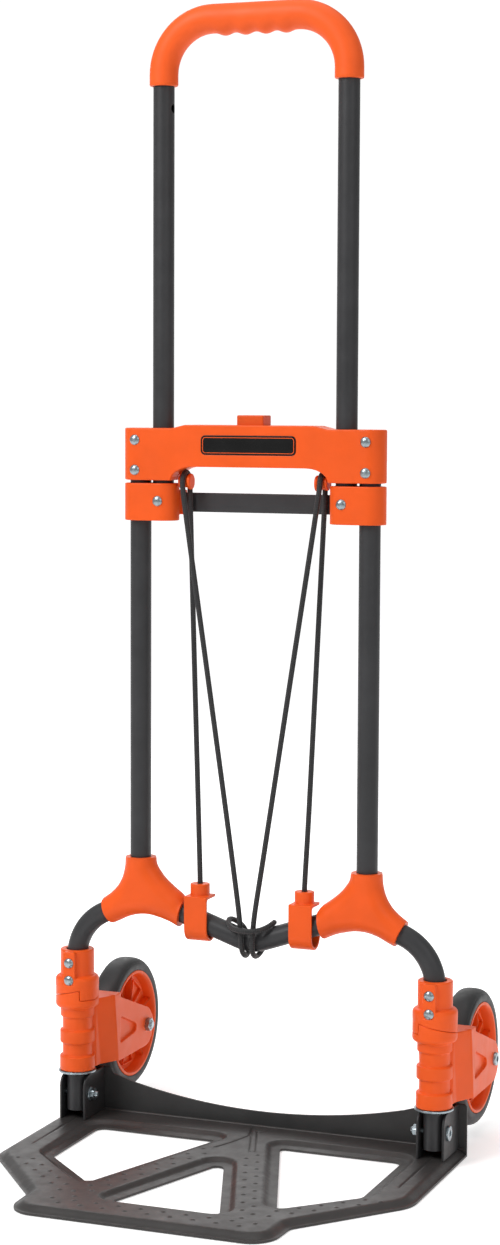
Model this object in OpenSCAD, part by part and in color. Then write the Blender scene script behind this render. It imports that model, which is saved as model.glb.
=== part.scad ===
// Folding luggage cart: telescopic handle, bent tube base, fold-up toe plate
// and two wheels that swing in under a helical cam as the plate folds.
// Millimetres, +Z up, +Y to the back, cart standing open on its toe plate.

/* [Frame tubes] */
// Outer diameter of every steel tube
tube_d = 19; // [18:0.5:20]
// Wall thickness of the tubes
tube_wall = 1.2; // [0.8:0.1:2]
// Distance between the two leg axes
leg_span = 346; // [340:1:356]
// Distance between the two lower uprights
upright_span = 218; // [216:1:222]
// Height that the legs' bends would reach at the level
base_level = 206; // [204:1:212]
// Height of the lowest point of the base tube between the uprights
base_dip = 186; // [182:1:192]
// Angle of the two runs that slope down to that point
dip_slope = 19; // [14:1:22]
// Bend radius at the top of each leg
leg_bend_r = 48; // [44:1:52]
// Height of the open lower end of each leg
leg_foot = 14.5; // [13:0.5:17]

/* [Handle] */
// Distance between the two handle tubes
handle_span = 174; // [172:1:176]
// Height of the grip's top when the handle is pulled out
handle_top = 1018; // [960:1:1060]
// Bend radius of the handle tube under the grip
handle_bend_r = 47; // [40:1:60]
// Diameter of the grip sleeve
grip_d = 25.6; // [24:0.2:30]
// Height of the ends of the grip sleeve
grip_end = 949.5; // [900:0.5:955]
// How far the handle slides down
handle_travel = 300; // [200:1:300]

/* [Latch housing] */
// Height of the underside of the end blocks
housing_low = 599.5; // [599:0.5:602]
// Height of the top of the end blocks
housing_high = 646.3; // [645:0.1:648]
// Depth of the housing, front to back
housing_depth = 28.8; // [28:0.2:32]
// Height of the push button above the raised middle
button_proud = 8.8; // [7.5:0.1:12]
// How far the button goes down
button_travel = 6; // [4:0.5:6]
// Height of the sliding clamps
clamp_h = 33.6; // [30:0.2:36]

/* [Toe plate] */
// Width of the toe plate
plate_w = 387; // [386:1:392]
// Depth of the toe plate in front of the leg axes
plate_front = 263; // [255:1:268]
// Height of the plate's top face
plate_top = 6.8; // [6:0.1:7.5]
// Sheet thickness of the plate
plate_t = 2.2; // [1.8:0.1:2.6]
// Height of the toe plate's hinge axis
hinge_z = 29.5; // [29:0.5:31]
// How far behind the leg axes the back wall stands
wall_y = 33; // [32:0.5:35]

/* [Wheels] */
// Diameter of the wheels
wheel_d = 125; // [120:1:126]
// Width of the wheels
wheel_w = 25; // [22:1:26]
// How far behind the leg axes the axles are
axle_y = 104.5; // [104:0.5:108]
// Height of the axles
axle_z = 72.5; // [70:0.5:75]
// Width of each wheel yoke
yoke_w = 50; // [48:1:52]
// How far a yoke drops along its cam as it swings in
yoke_drop = 6.5; // [5:0.5:6.5]

/* [Bungee cord] */
// Diameter of the elastic cord
cord_d = 4.8; // [4:0.1:5]

/* [Hidden] */

$fn = 64;
// Round details that carry no bore
fine = 32;
// Small overlap that joins two pieces of one solid
join = 0.4;
// Play between a fixed piece and the tube it sits on
fix_gap = 0.05;
// Radial play of a running fit
run_gap = 0.1;
// Play between pieces that move past each other
slide_gap = 0.35;

// The wheels reach further back than the plate's wall, so the legs stand
// behind the middle of the footprint, which is the origin.
wheel_r = wheel_d / 2;
leg_y = (plate_front - axle_y - wheel_r) / 2;
leg_x = leg_span / 2;
upright_x = upright_span / 2;
handle_x = handle_span / 2;
tube_r = tube_d / 2;
bore_r = tube_r - tube_wall;

// Base tube
bend_x = leg_x - leg_bend_r;
bend_z = base_level - leg_bend_r;
rise_slope = 20;
apex_r = 22;
apex_steps = 8;
dip_r = 35;
dip_steps = 8;
// Where the rise from the leg and the slope from the dip would meet
rise_x = bend_x + leg_bend_r * sin(rise_slope);
rise_z = bend_z + leg_bend_r * cos(rise_slope);
apex_x = (rise_z + rise_x * tan(rise_slope) - slope_z(0)) / (tan(rise_slope) + tan(dip_slope));
apex_z = slope_z(apex_x);
// Centre of the bend at the apex, half way between the two slopes
apex_turn = (rise_slope - dip_slope) / 2;
apex_reach = apex_r / cos((rise_slope + dip_slope) / 2);
apex_cx = apex_x - apex_reach * sin(apex_turn);
apex_cz = apex_z - apex_reach * cos(apex_turn);

// Height of the tube's axis at a distance x from the middle, on the slope
function slope_z(x) = base_dip + dip_r * (1 - cos(dip_slope))
  + (x - dip_r * sin(dip_slope)) * tan(dip_slope);

// Uprights and handle
upright_low = apex_z + tube_r + 1;
upright_high = housing_high - 4;
handle_axis_top = handle_top - grip_d / 2;
handle_bend_z = handle_axis_top - handle_bend_r;
handle_bend_x = handle_x - handle_bend_r;
clamp_high = housing_low - 2.6;
clamp_low = clamp_high - clamp_h;
handle_low = clamp_low + 3;
latch_z = 628.5;
latch_hole_r = 3.9;

// Housing
housing_r = housing_depth / 2;
crown_high = housing_high + 3;
crown_x = 61;
crown_ramp = 12;
arch_z = 612;
arch_x = 53;
arch_foot_x = 74.5;
shell_wall = 3;
rivet_r = 2;
rivet_head_r = 4;
rivet_rise = 2.3;
housing_rivet_z = [608.7, 635.6];
button_w = 25;
button_depth = 20;
badge_w = 90;
badge_h = 17.5;
badge_z = 631.5;
badge_t = 0.8;

// Cord hooks under the housing
hook_x = 65;
hook_z = 598.6;
hook_r = 5.5;
hook_flange_r = 7.2;

// Clamps and crossbar
clamp_rivet_z = clamp_low + clamp_h / 2 + 1;
bar_z = clamp_low + 7.6;
bar_h = 17.4;
bar_t = 3;
bar_y = 11.2;
bar_end_x = 79;
lug_x = 70;
lug_end = handle_x + 5;
lug_back = bar_y + bar_t + 1.4;

// Leg collar, cam and sleeve
collar_top = 165.7;
collar_r = 15.5;
// Extra room where the tube begins to bend inside the collar's top
collar_flare = 0.8;
cuff_r = 20;
cuff_high = 141.3;
cuff_low = 111.2;
cuff_round = 4;
cam_high = 129;
cam_low = 119.6;
cam_core_low = 117;
cam_core_high = 131.5;
cam_skin = 0.1;
cam_gap = 0.35;
cam_play = 1;
cam_step = 1;
cam_rise = yoke_drop / 90;
cam_angle = -120;
spring_room_r = 14.2;
spring_low = cuff_low + 2;
spring_high = cuff_high - 6.5;
sleeve_foot = 52.2;
pad_y = 18.8;
flat_y = 18.9;
flat_low = 134;
flat_half = 6.8;
pad_half = 5.9;
collar_rivet_z = [138.6, 154.8];

// Washer under the sleeve
washer_r = 17.5;
washer_t = 2;

// Hinge brackets
bracket_in = 10.7;
bracket_t = 2.2;
bracket_front = 11.6;
bracket_high = 47.5;
bracket_round = 10;
hinge_bolt_r = 3;
hinge_head_r = 6.8;

// Yoke
arm_t = 6;
arm_end_r = 17.5;
yoke_foot = 52.2;
yoke_head = 117.5;
root_inset = 0.8;
yoke_half = yoke_w / 2;

// Wheel
rim_lip_r = 50.6;
rim_seat_r = 49;
rim_w = wheel_w - 3;
hub_r = 12;
hub_w = 34;
bush_r = 5;
axle_r = 3;
axle_head_r = 6;

// Clips at the ends of the cord
clip_x = 50.3;
clip_w = 22;
clip_y = 9.8;
clip_t = 2.5;
clip_saddle_z = 195.1;
clip_deck_z = 222;
clip_knob_r = 8.8;
clip_knob_high = 235.2;

// Route of the cord over the left half, from the clip over the hook to the
// knot at the middle of the base tube; the right half mirrors it.
cord_half = [
  [-50.3, 0, 226], [-50.3, 0, 236], [-53, 2, 300], [-59, 5, 450], [-64.4, 8, 590],
  [-64.6, 8, 598], [-64.8, 6.4, 603.4], [-65, 3.2, 606.2], [-65, 0, 607], [-65, -3.2, 606.2],
  [-65.1, -6.4, 603.4], [-65.2, -8, 598], [-64.4, -8.4, 590], [-39, -9.8, 422],
  [-16, -11.2, 270], [-7.4, -12.6, 212], [-6.2, -12.8, 200], [-5.4, -12.8, 188],
  [-5, -10.8, 178.6], [-4.8, -5.6, 174], [-5, 0, 172.8], [-5.8, 6, 174.4],
  [-7, 10.8, 178.8], [-8.8, 12.8, 187], [-12, 12, 195], [-16.5, 8.5, 200.8],
  [-20.3, 3.5, 204], [-21.3, -1.5, 204.4], [-19, -8, 202.2], [-13, -14.8, 199.6],
  [-6.5, -18.2, 198.8], [0, -19, 198.6]
];

function mirror_x(p) = [-p[0], p[1], p[2]];
cord_route = concat(
  cord_half,
  [for (i = [len(cord_half) - 2 : -1 : 0]) mirror_x(cord_half[i])]
);

// ---- outlines ----

function unit(v) = v / norm(v);
function at(list, i) = list[(i + len(list)) % len(list)];

// Points of an arc about c
function arc(c, r, a0, a1, n = 8) =
  [for (i = [0 : n]) c + r * [cos(a0 + (a1 - a0) * i / n), sin(a0 + (a1 - a0) * i / n)]];

// One corner of an outline, rounded by radius r
function corner(p, q, s, r, n = 6) =
  let (
    u = unit(p - q),
    v = unit(s - q),
    half = acos(max(-1, min(1, u * v))) / 2,
    mid = unit(u + v),
    c = q + mid * r / sin(half),
    a = q + u * r / tan(half),
    b = q + v * r / tan(half),
    a0 = atan2(a[1] - c[1], a[0] - c[0]),
    turn = atan2(b[1] - c[1], b[0] - c[0]) - a0,
    sweep = turn > 180 ? turn - 360 : turn < -180 ? turn + 360 : turn
  )
  r < 0.05 ? [q] : arc(c, r, a0, a0 + sweep, n);

// Outline [[x, y, radius], ...] with every corner rounded
function rounded(list, n = 6) = [
  for (i = [0 : len(list) - 1])
    let (p = at(list, i - 1), q = at(list, i), s = at(list, i + 1))
    each corner([p[0], p[1]], [q[0], q[1]], [s[0], s[1]], q[2], n)
];

// The same outline drawn in by d, for a list that runs anticlockwise
function inset(list, d) = [
  for (i = [0 : len(list) - 1])
    let (
      p = at(list, i - 1), q = at(list, i), s = at(list, i + 1),
      u = unit([q[0] - p[0], q[1] - p[1]]),
      v = unit([s[0] - q[0], s[1] - q[1]]),
      nu = [-u[1], u[0]],
      nv = [-v[1], v[0]],
      m = (nu + nv) / (1 + nu * nv),
      convex = u[0] * v[1] - u[1] * v[0] > 0
    )
    [q[0] + m[0] * d, q[1] + m[1] * d, max(0, q[2] + (convex ? -d : d))]
];

// Toe plate outline, anticlockwise from the right end of the back wall
plate_half_w = plate_w / 2;
tongue_half = 118.5;
tongue_y = -217;
shoulder_y = -126;
plate_outline = [
  [plate_half_w, wall_y + plate_t, 0],
  [-plate_half_w, wall_y + plate_t, 0],
  [-plate_half_w, shoulder_y, 36],
  [-tongue_half, tongue_y, 12],
  [-tongue_half + 2, -plate_front, 24],
  [tongue_half - 2, -plate_front, 24],
  [tongue_half, tongue_y, 12],
  [plate_half_w, shoulder_y, 36]
];

// The three windows
window_left = [[-146, -10.5, 9], [-146, -110, 8], [-85, -169, 4], [-30, -10.5, 3]];
window_middle = [[2, -70, 6], [-44.5, -208.5, 3], [53.5, -208.5, 4]];
window_right = [[148, -11, 9], [32.5, -11, 4], [92, -177, 3], [148, -121, 12]];
windows = [window_left, window_middle, window_right];
lip_low = 2;
// The strip that carries the brackets is pressed a little lower than the deck
strip_from = -13.5;
strip_drop = 0.2;

// ---- swept tubes ----

function tangent(p, i) =
  unit(p[min(i + 1, len(p) - 1)] - p[max(i - 1, 0)]);

// Normals carried along the route without twisting
function normals(p, i = 0, n = undef) =
  i >= len(p) ? [] :
  let (
    t = tangent(p, i),
    start = abs(t[0]) < 0.8 ? [1, 0, 0] : [0, 1, 0],
    raw = is_undef(n) ? start : n,
    m = unit(raw - (raw * t) * t)
  )
  concat([m], normals(p, i + 1, m));

module swept(p, r, sides = 8) {
  n = normals(p);
  last = len(p) - 1;
  points = [
    for (i = [0 : last], k = [0 : sides - 1])
      let (t = tangent(p, i), b = cross(t, n[i]), a = 360 * k / sides)
      p[i] + r * (cos(a) * n[i] + sin(a) * b)
  ];
  sides_faces = [
    for (i = [0 : last - 1], k = [0 : sides - 1])
      let (k2 = (k + 1) % sides, a = i * sides, b = a + sides)
      each [[a + k, b + k, b + k2], [a + k, b + k2, a + k2]]
  ];
  caps = [
    [for (k = [0 : sides - 1]) k],
    [for (k = [sides - 1 : -1 : 0]) last * sides + k]
  ];
  polyhedron(points, concat(sides_faces, caps), convexity = 6);
}

// ---- common shapes ----

module placed() {
  translate([0, leg_y, 0]) children();
}

// The right-hand piece, or its mirror image on the left
module on_side(s) {
  placed()
    if (s < 0) mirror([1, 0, 0]) children();
    else children();
}

module upright_bar(x, z0, z1, r) {
  translate([x, 0, z0]) cylinder(r = r, h = z1 - z0);
}

// Bar along Y from y0 to y1
module bar_y(x, z, y0, y1, r) {
  translate([x, y0, z]) rotate([-90, 0, 0]) cylinder(r = r, h = y1 - y0);
}

// Bar along X from x0 to x1
module bar_x(y, z, x0, x1, r) {
  translate([x0, y, z]) rotate([0, 90, 0]) cylinder(r = r, h = x1 - x0);
}

// Part of a ring in the XZ plane, from angle a0 to a1 above +X
module bend(x, z, bend_radius, a0, a1, r) {
  translate([x, 0, z])
    rotate([90, 0, 0])
      rotate([0, 0, a0])
        rotate_extrude(angle = a1 - a0) translate([bend_radius, 0]) circle(r = r);
}

module box(x0, x1, y0, y1, z0, z1) {
  translate([x0, y0, z0]) cube([x1 - x0, y1 - y0, z1 - z0]);
}

// Outline in plan, raised from z0 to z1
module prism(points, z0, z1) {
  translate([0, 0, z0]) linear_extrude(z1 - z0) polygon(points);
}

// Outline in the XZ plane, from y0 back to y1
module slab(points, y0, y1) {
  translate([0, y1, 0]) rotate([90, 0, 0]) linear_extrude(y1 - y0) polygon(points);
}

// Outline in the YZ plane, from x0 to x1
module side_slab(points, x0, x1) {
  translate([x0, 0, 0]) rotate([90, 0, 90]) linear_extrude(x1 - x0) polygon(points);
}

// Slot-shaped block round the pair of tubes on one side
module tube_pair(x0, x1, r, z0, z1) {
  upright_bar(x0, z0, z1, r);
  upright_bar(x1, z0, z1, r);
  box(x0, x1, -r, r, z0, z1);
}

// Dome of a rivet, facing the front
module dome(x, y, z, r, rise) {
  curve = (r * r + rise * rise) / (2 * rise);
  translate([x, y, z])
    rotate([90, 0, 0])
      intersection() {
        translate([0, 0, rise - curve]) sphere(r = curve);
        cylinder(r = r, h = rise + 1);
      }
}

// Through rivet with a dome at the front and a flat set head at the back
module through_rivet(x, z, front, back) {
  bar_y(x, z, front, back, rivet_r);
  dome(x, front, z, rivet_head_r, rivet_rise);
  bar_y(x, z, back, back + 1.2, rivet_head_r - 0.8);
}

// ---- frame ----

// From each leg's bend the tube rises to an apex under the upright, then dips to the middle
run_half = concat(
  [for (a = [rise_slope + 9 : -3 : rise_slope])
    [bend_x + leg_bend_r * sin(a), 0, bend_z + leg_bend_r * cos(a)]],
  [for (i = [0 : apex_steps])
    let (a = rise_slope - (rise_slope + dip_slope) * i / apex_steps)
    [apex_cx + apex_r * sin(a), 0, apex_cz + apex_r * cos(a)]]
);
dip_points = concat(
  run_half,
  [for (i = [0 : dip_steps])
    let (a = dip_slope * (1 - 2 * i / dip_steps))
    [dip_r * sin(a), 0, base_dip + dip_r * (1 - cos(a))]],
  [for (i = [len(run_half) - 1 : -1 : 0]) [-run_half[i][0], 0, run_half[i][2]]]
);

module base_dip_run(r) {
  swept(dip_points, r, 28);
}

module base_path(r, foot) {
  for (half_turn = [0, 180])
    rotate([0, 0, half_turn]) {
      upright_bar(leg_x, foot, bend_z, r);
      bend(bend_x, bend_z, leg_bend_r, 0, 90 - rise_slope, r);
    }
}

module base_tube() {
  color([0.25, 0.25, 0.26])
    placed() difference() {
      union() {
        base_path(tube_r, leg_foot);
        base_dip_run(tube_r - 0.05);
      }
      base_path(bore_r, leg_foot - 1);
      base_dip_run(bore_r - 0.05);
      for (s = [-1, 1]) {
        bar_x(0, hinge_z, s * leg_x - tube_d, s * leg_x + tube_d, hinge_bolt_r + run_gap);
        for (z = collar_rivet_z) bar_y(s * leg_x, z, -tube_d, tube_d, rivet_r + fix_gap);
      }
    }
}

module upright(s) {
  color([0.25, 0.25, 0.26])
    on_side(s) difference() {
      upright_bar(upright_x, upright_low, upright_high, tube_r);
      upright_bar(upright_x, upright_low - 1, upright_high + 1, bore_r);
      for (z = housing_rivet_z) bar_y(upright_x, z, -tube_d, tube_d, rivet_r + fix_gap);
    }
}

// Moulded cover of the joint between upright and base tube
cover_r = 13.4;
cover_top = 256;
// Lengths of the cover's two arms from the point under the upright
arm_out = 43;
arm_in_len = 34.4;
// Front outline of the web between the cover's three arms
cover_web = concat(
  arc([140.6, 239.6], 21.5, 175, 241, 7),
  [[136.5, 199.4]],
  [[127.5, 201.5], [119, 204], [112, 205.2], [104, 205.2], [95, 204.2], [85, 201.8],
    [73.5, 198.5]],
  arc([69.5, 252], 30, 287, 350, 7)
);

// Cylinder that runs down from the apex at an angle below the level
module apex_bar(turn, length, r) {
  translate([apex_x, 0, apex_z]) rotate([0, turn, 0]) cylinder(r = r, h = length);
}

module joint_cover(s) {
  lobe = cover_r - 1;
  color([0.94, 0.37, 0.14])
    on_side(s) difference() {
      union() {
        upright_bar(upright_x, apex_z, cover_top, cover_r);
        apex_bar(90 + rise_slope, arm_out, cover_r - 0.6);
        apex_bar(-90 - dip_slope, arm_in_len, cover_r - 0.6);
        slab(cover_web, -lobe, lobe);
      }
      base_dip_run(tube_r + 0.15);
      upright_bar(upright_x, apex_z, cover_top + 1, tube_r + fix_gap);
    }
}

// ---- latch housing ----

// Front outline of the housing: raised middle on top, arch below
housing_outline = concat(
  [
    [upright_x, housing_low], [upright_x, housing_high],
    [crown_x + crown_ramp, housing_high], [crown_x, crown_high],
    [-crown_x, crown_high], [-crown_x - crown_ramp, housing_high],
    [-upright_x, housing_high], [-upright_x, housing_low]
  ],
  [for (a = [0 : 15 : 90])
    [-arch_foot_x + (arch_foot_x - arch_x) * (1 - cos(a)),
      housing_low + (arch_z - housing_low) * sin(a)]],
  [for (a = [90 : -15 : 0])
    [arch_foot_x - (arch_foot_x - arch_x) * (1 - cos(a)),
      housing_low + (arch_z - housing_low) * sin(a)]]
);

module housing_block() {
  slab(housing_outline, -housing_r, housing_r);
  for (s = [-1, 1]) upright_bar(s * upright_x, housing_low, housing_high, housing_r);
}

// Everything that is cut out of both halves of the housing
module housing_voids() {
  room_high = housing_high - 1;
  room_low = latch_z - 8;
  room_y = housing_r - shell_wall;
  for (s = [-1, 1]) {
    upright_bar(s * upright_x, housing_low - 1, upright_high + fix_gap, tube_r + fix_gap);
    upright_bar(s * handle_x, housing_low - 1, housing_high + 1, tube_r + slide_gap);
    for (z = housing_rivet_z) bar_y(s * upright_x, z, -50, 50, rivet_r + fix_gap);
    bar_x(0, latch_z, min(s * 50, s * handle_x), max(s * 50, s * handle_x), 4.4);
  }
  box(-58, 58, -room_y, room_y, room_low, room_high);
  box(-button_w / 2 - slide_gap, button_w / 2 + slide_gap,
    -button_depth / 2 - slide_gap, button_depth / 2 + slide_gap, room_high - 1, crown_high + 1);
}

module housing_front() {
  color([0.94, 0.37, 0.14])
    placed() difference() {
      housing_block();
      housing_voids();
      box(-150, 150, 0, 50, 500, 700);
      slab(rounded([
        [-badge_w / 2, badge_z - badge_h / 2, 4], [badge_w / 2, badge_z - badge_h / 2, 4],
        [badge_w / 2, badge_z + badge_h / 2, 4], [-badge_w / 2, badge_z + badge_h / 2, 4]
      ]), -housing_r - 1, -housing_r + badge_t);
    }
}

// The rear half also carries the two spools that the cord runs over
module housing_rear() {
  web_x = hook_x + cord_d / 2 + 0.6;
  flange_x = hook_x - cord_d / 2 - 0.6;
  color([0.94, 0.37, 0.14])
    placed() {
      difference() {
        housing_block();
        housing_voids();
        box(-150, 150, -50, 0, 500, 700);
      }
      for (s = [-1, 1]) {
        near = s * web_x;
        far = s * (web_x + 2.6);
        box(min(near, far), max(near, far), 0, 8, hook_z - 4, housing_low + 11);
        bar_x(0, hook_z, min(near, far), max(near, far), hook_flange_r - 1);
        bar_x(0, hook_z, min(s * flange_x, near), max(s * flange_x, near), hook_r);
        tip = s * (flange_x - 3);
        bar_x(0, hook_z, min(s * flange_x, tip), max(s * flange_x, tip), hook_flange_r);
      }
    }
}

module housing_rivets() {
  color([0.72, 0.76, 0.78])
    placed()
      for (s = [-1, 1], z = housing_rivet_z)
        through_rivet(s * upright_x, z, -housing_r, housing_r);
}

module badge_plate() {
  gap = 0.1;
  color([0.05, 0.05, 0.05])
    placed()
      slab(rounded([
        [-badge_w / 2 + gap, badge_z - badge_h / 2 + gap, 4],
        [badge_w / 2 - gap, badge_z - badge_h / 2 + gap, 4],
        [badge_w / 2 - gap, badge_z + badge_h / 2 - gap, 4],
        [-badge_w / 2 + gap, badge_z + badge_h / 2 - gap, 4]
      ]), -housing_r - 0.3, -housing_r + badge_t);
}

// ---- latch ----

button_top = crown_high + button_proud;
ramp_x = 24;
ramp_z = 636;
ramp_rate = 0.5;
prong_low = 630;
deck_low = 642.4;
deck_t = 2.4;
prong_in = 3.6;
prong_out = 8;
slider_low = latch_z - 3.2;
slider_high = latch_z + 3.2;
spring_pocket_r = 3.4;
// Distance from the middle of the ramp face at height z
function ramp_at(z) = ramp_x + ramp_rate * (ramp_z - z);

module release_button() {
  prong_far = 31;
  color([0.9, 0.36, 0.16])
    placed() {
      box(-button_w / 2, button_w / 2, -button_depth / 2, button_depth / 2, deck_low, button_top);
      box(-prong_far, prong_far, -prong_out, prong_out, deck_low, deck_low + deck_t);
      for (s = [-1, 1], e = [-1, 1])
        slab([
          [s * ramp_at(prong_low), prong_low], [s * prong_far, prong_low],
          [s * prong_far, deck_low + 1], [s * ramp_at(deck_low), deck_low + 1],
          [s * ramp_at(deck_low), deck_low]
        ], e > 0 ? prong_in : -prong_out, e > 0 ? prong_out : -prong_in);
    }
}

// Right-hand slider: ramp lug, bar and round latch nose
module latch_slider(s) {
  nose_tip = handle_x - tube_r - 0.4;
  face = 0.2;
  inner_end = 9;
  pocket_end = 15.5;
  color([0.2, 0.2, 0.2])
    on_side(s) difference() {
      union() {
        box(inner_end, 56, -3, 3, slider_low, slider_high);
        box(inner_end, 18, -5, 5, latch_z - 4.6, latch_z + 4.6);
        slab([
          [17.5, slider_low], [ramp_at(slider_low) - face, slider_low],
          [ramp_at(ramp_z) - face, ramp_z], [19, ramp_z], [17.5, slider_high + 1]
        ], -prong_out, prong_out);
        bar_x(0, latch_z, 55, nose_tip, 3.4);
      }
      bar_x(0, latch_z, 0, pocket_end, spring_pocket_r);
    }
}

// Spring between the two sliders
module latch_spring() {
  turns = 6;
  steps = 10;
  reach = 12;
  color([0.7, 0.7, 0.72])
    placed()
      swept([
        for (i = [0 : turns * steps])
          [-reach + 2 * reach * i / (turns * steps),
            2.5 * cos(360 * i / steps), latch_z + 2.5 * sin(360 * i / steps)]
      ], 0.45, 6);
}

// ---- leg collars and fold cam ----

// Height of the cam at u degrees past its step; it repeats every half turn
function cam_z(u) =
  let (v = (u % 180 + 180) % 180)
  v <= 180 - cam_step
    ? max(cam_low, cam_high - cam_rise * v)
    : cam_low + (cam_high - cam_low) * (v - 180 + cam_step) / cam_step;

// Ring between two radii whose top, or whose underside, is the cam
module cam_ring(flat_z, shift, lift) {
  angles = [for (h = [0, 180]) each concat([for (v = [0 : 10 : 170]) h + v], [h + 180 - cam_step])];
  count = len(angles);
  inner = spring_room_r + 0.6;
  outer = cuff_r - cam_skin;
  up = lift == 0;
  points = [for (a = angles)
    let (
      t = a + cam_angle - shift,
      z = cam_z(a) + lift,
      c = cos(t),
      d = sin(t)
    )
    each [
      [inner * c, inner * d, up ? flat_z : z], [outer * c, outer * d, up ? flat_z : z],
      [outer * c, outer * d, up ? z : flat_z], [inner * c, inner * d, up ? z : flat_z]
    ]
  ];
  faces = [for (i = [0 : count - 1], k = [0 : 3])
    let (j = (i + 1) % count, m = (k + 1) % 4)
    each [[4 * i + m, 4 * j + m, 4 * j + k], [4 * i + m, 4 * j + k, 4 * i + k]]
  ];
  polyhedron(points, faces, convexity = 6);
}

// Profile with rounded shoulders between two heights, for a ring of radius r
module band(r0, r, z0, z1, round_low, round_high) {
  rotate_extrude()
    polygon(concat(
      [[r0, z0]],
      corner([r0, z0], [r, z0], [r, z1], round_low),
      corner([r, z0], [r, z1], [r0, z1], round_high),
      [[r0, z1]]
    ));
}

module leg_collar(s) {
  color([0.94, 0.37, 0.14])
    on_side(s) translate([leg_x, 0, 0]) difference() {
      union() {
        band(1, cuff_r, cam_core_high, cuff_high, 0, cuff_round);
        band(1, collar_r, cuff_high - 6, collar_top, 0, 1);
        cam_ring(cam_core_high + join, cam_play, cam_gap);
        slab(rounded([
          [-pad_half, cuff_high - 5, 0], [pad_half, cuff_high - 5, 0],
          [pad_half, collar_top - 0.6, 1.5], [-pad_half, collar_top - 0.6, 1.5]
        ]), -pad_y, 0);
      }
      box(-flat_half, flat_half, -cuff_r - 5, -flat_y, flat_low, cuff_high + 5);
      upright_bar(0, 0, 200, tube_r + fix_gap);
      upright_bar(0, 100, spring_high, spring_room_r);
      upright_bar(0, bend_z - 1, 200, tube_r + collar_flare);
      for (z = collar_rivet_z) bar_y(0, z, -50, 50, rivet_r + fix_gap);
    }
}

module collar_rivets() {
  color([0.72, 0.76, 0.78])
    for (s = [-1, 1])
      placed()
        for (z = collar_rivet_z) {
          lower = z < cuff_high;
          through_rivet(s * leg_x, z, lower ? -flat_y : -pad_y, lower ? cuff_r : collar_r);
        }
}

// Compression spring that drives the yoke down its cam
module fold_spring(s) {
  turns = 5;
  steps = 16;
  wire = 0.9;
  low = spring_low + wire + 0.1;
  high = spring_high - wire - 0.1;
  color([0.7, 0.7, 0.72])
    on_side(s)
      swept([
        for (i = [0 : turns * steps])
          [leg_x + 12 * cos(360 * i / steps), 12 * sin(360 * i / steps),
            low + (high - low) * i / (turns * steps)]
      ], wire, 6);
}

// ---- bungee cord and clips ----

module bungee_cord() {
  color([0.08, 0.08, 0.08]) placed() swept(cord_route, cord_d / 2, 8);
}

// Open hook under the base tube, with a knob that grips the end of the cord
module cord_clip(s) {
  r_in = clip_y;
  r_out = clip_y + clip_t;
  half = clip_w / 2;
  color([0.94, 0.37, 0.14])
    on_side(s) difference() {
      union() {
        side_slab(concat(
          [[-r_out, clip_deck_z + clip_t], [-r_out, clip_saddle_z]],
          arc([0, clip_saddle_z], r_out, 180, 360, 16),
          [[r_out, clip_saddle_z + 4], [r_in, clip_saddle_z + 4]],
          arc([0, clip_saddle_z], r_in, 360, 180, 16),
          [[-r_in, clip_deck_z - 2], [-r_in + 2, clip_deck_z], [r_in, clip_deck_z],
            [r_in + 1, clip_deck_z + clip_t]]
        ), clip_x - half, clip_x + half);
        upright_bar(clip_x, clip_deck_z, clip_knob_high, clip_knob_r);
      }
      upright_bar(clip_x, clip_deck_z - 10, clip_knob_high + 1, cord_d / 2 + 0.1);
    }
}

// ---- handle ----

module handle_path(r, low) {
  for (s = [-1, 1]) upright_bar(s * handle_x, low, handle_bend_z, r);
  bend(handle_bend_x, handle_bend_z, handle_bend_r, 0, 90, r);
  bend(-handle_bend_x, handle_bend_z, handle_bend_r, 90, 180, r);
  bar_x(0, handle_axis_top, -handle_bend_x, handle_bend_x, r);
}

module handle_tube() {
  color([0.25, 0.25, 0.26])
    placed() difference() {
      handle_path(tube_r, handle_low);
      handle_path(bore_r, handle_low - 1);
      for (s = [-1, 1]) {
        for (z = [latch_z, latch_z + handle_travel])
          bar_x(0, z, s > 0 ? handle_x - tube_d : -handle_x, s > 0 ? handle_x : tube_d - handle_x,
            latch_hole_r);
        bar_y(s * handle_x, clamp_rivet_z, -tube_d, tube_d, rivet_r + fix_gap);
      }
    }
}

module handle_grip() {
  color([0.96, 0.4, 0.2])
    placed() difference() {
      union() {
        handle_path(grip_d / 2, grip_end);
        for (i = [-1.5 : 1 : 1.5])
          translate([i * 19, 0, handle_axis_top - grip_d / 2 + 8]) sphere(r = 10.5);
      }
      handle_path(tube_r + fix_gap, grip_end - 1);
    }
}

module clamp(s) {
  color([0.94, 0.37, 0.14])
    on_side(s) difference() {
      union() {
        tube_pair(handle_x, upright_x, housing_r, clamp_low, clamp_high);
        box(lug_x, lug_end, 9, lug_back, bar_z - 2.4, bar_z + bar_h + 2.4);
      }
      upright_bar(handle_x, handle_low, clamp_high + 1, tube_r + fix_gap);
      upright_bar(handle_x, clamp_low - 1, handle_low + 1, bore_r);
      upright_bar(upright_x, clamp_low - 1, clamp_high + 1, tube_r + slide_gap);
      bar_y(handle_x, clamp_rivet_z, -50, 50, rivet_r + fix_gap);
      box(lug_x - 1, bar_end_x + fix_gap, bar_y - fix_gap, bar_y + bar_t + fix_gap,
        bar_z - fix_gap, bar_z + bar_h + fix_gap);
    }
}

module clamp_rivets() {
  color([0.72, 0.76, 0.78])
    placed()
      for (s = [-1, 1]) through_rivet(s * handle_x, clamp_rivet_z, -housing_r, lug_back);
}

module crossbar() {
  color([0.22, 0.22, 0.23])
    placed() box(-bar_end_x, bar_end_x, bar_y, bar_y + bar_t, bar_z, bar_z + bar_h);
}

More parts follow.
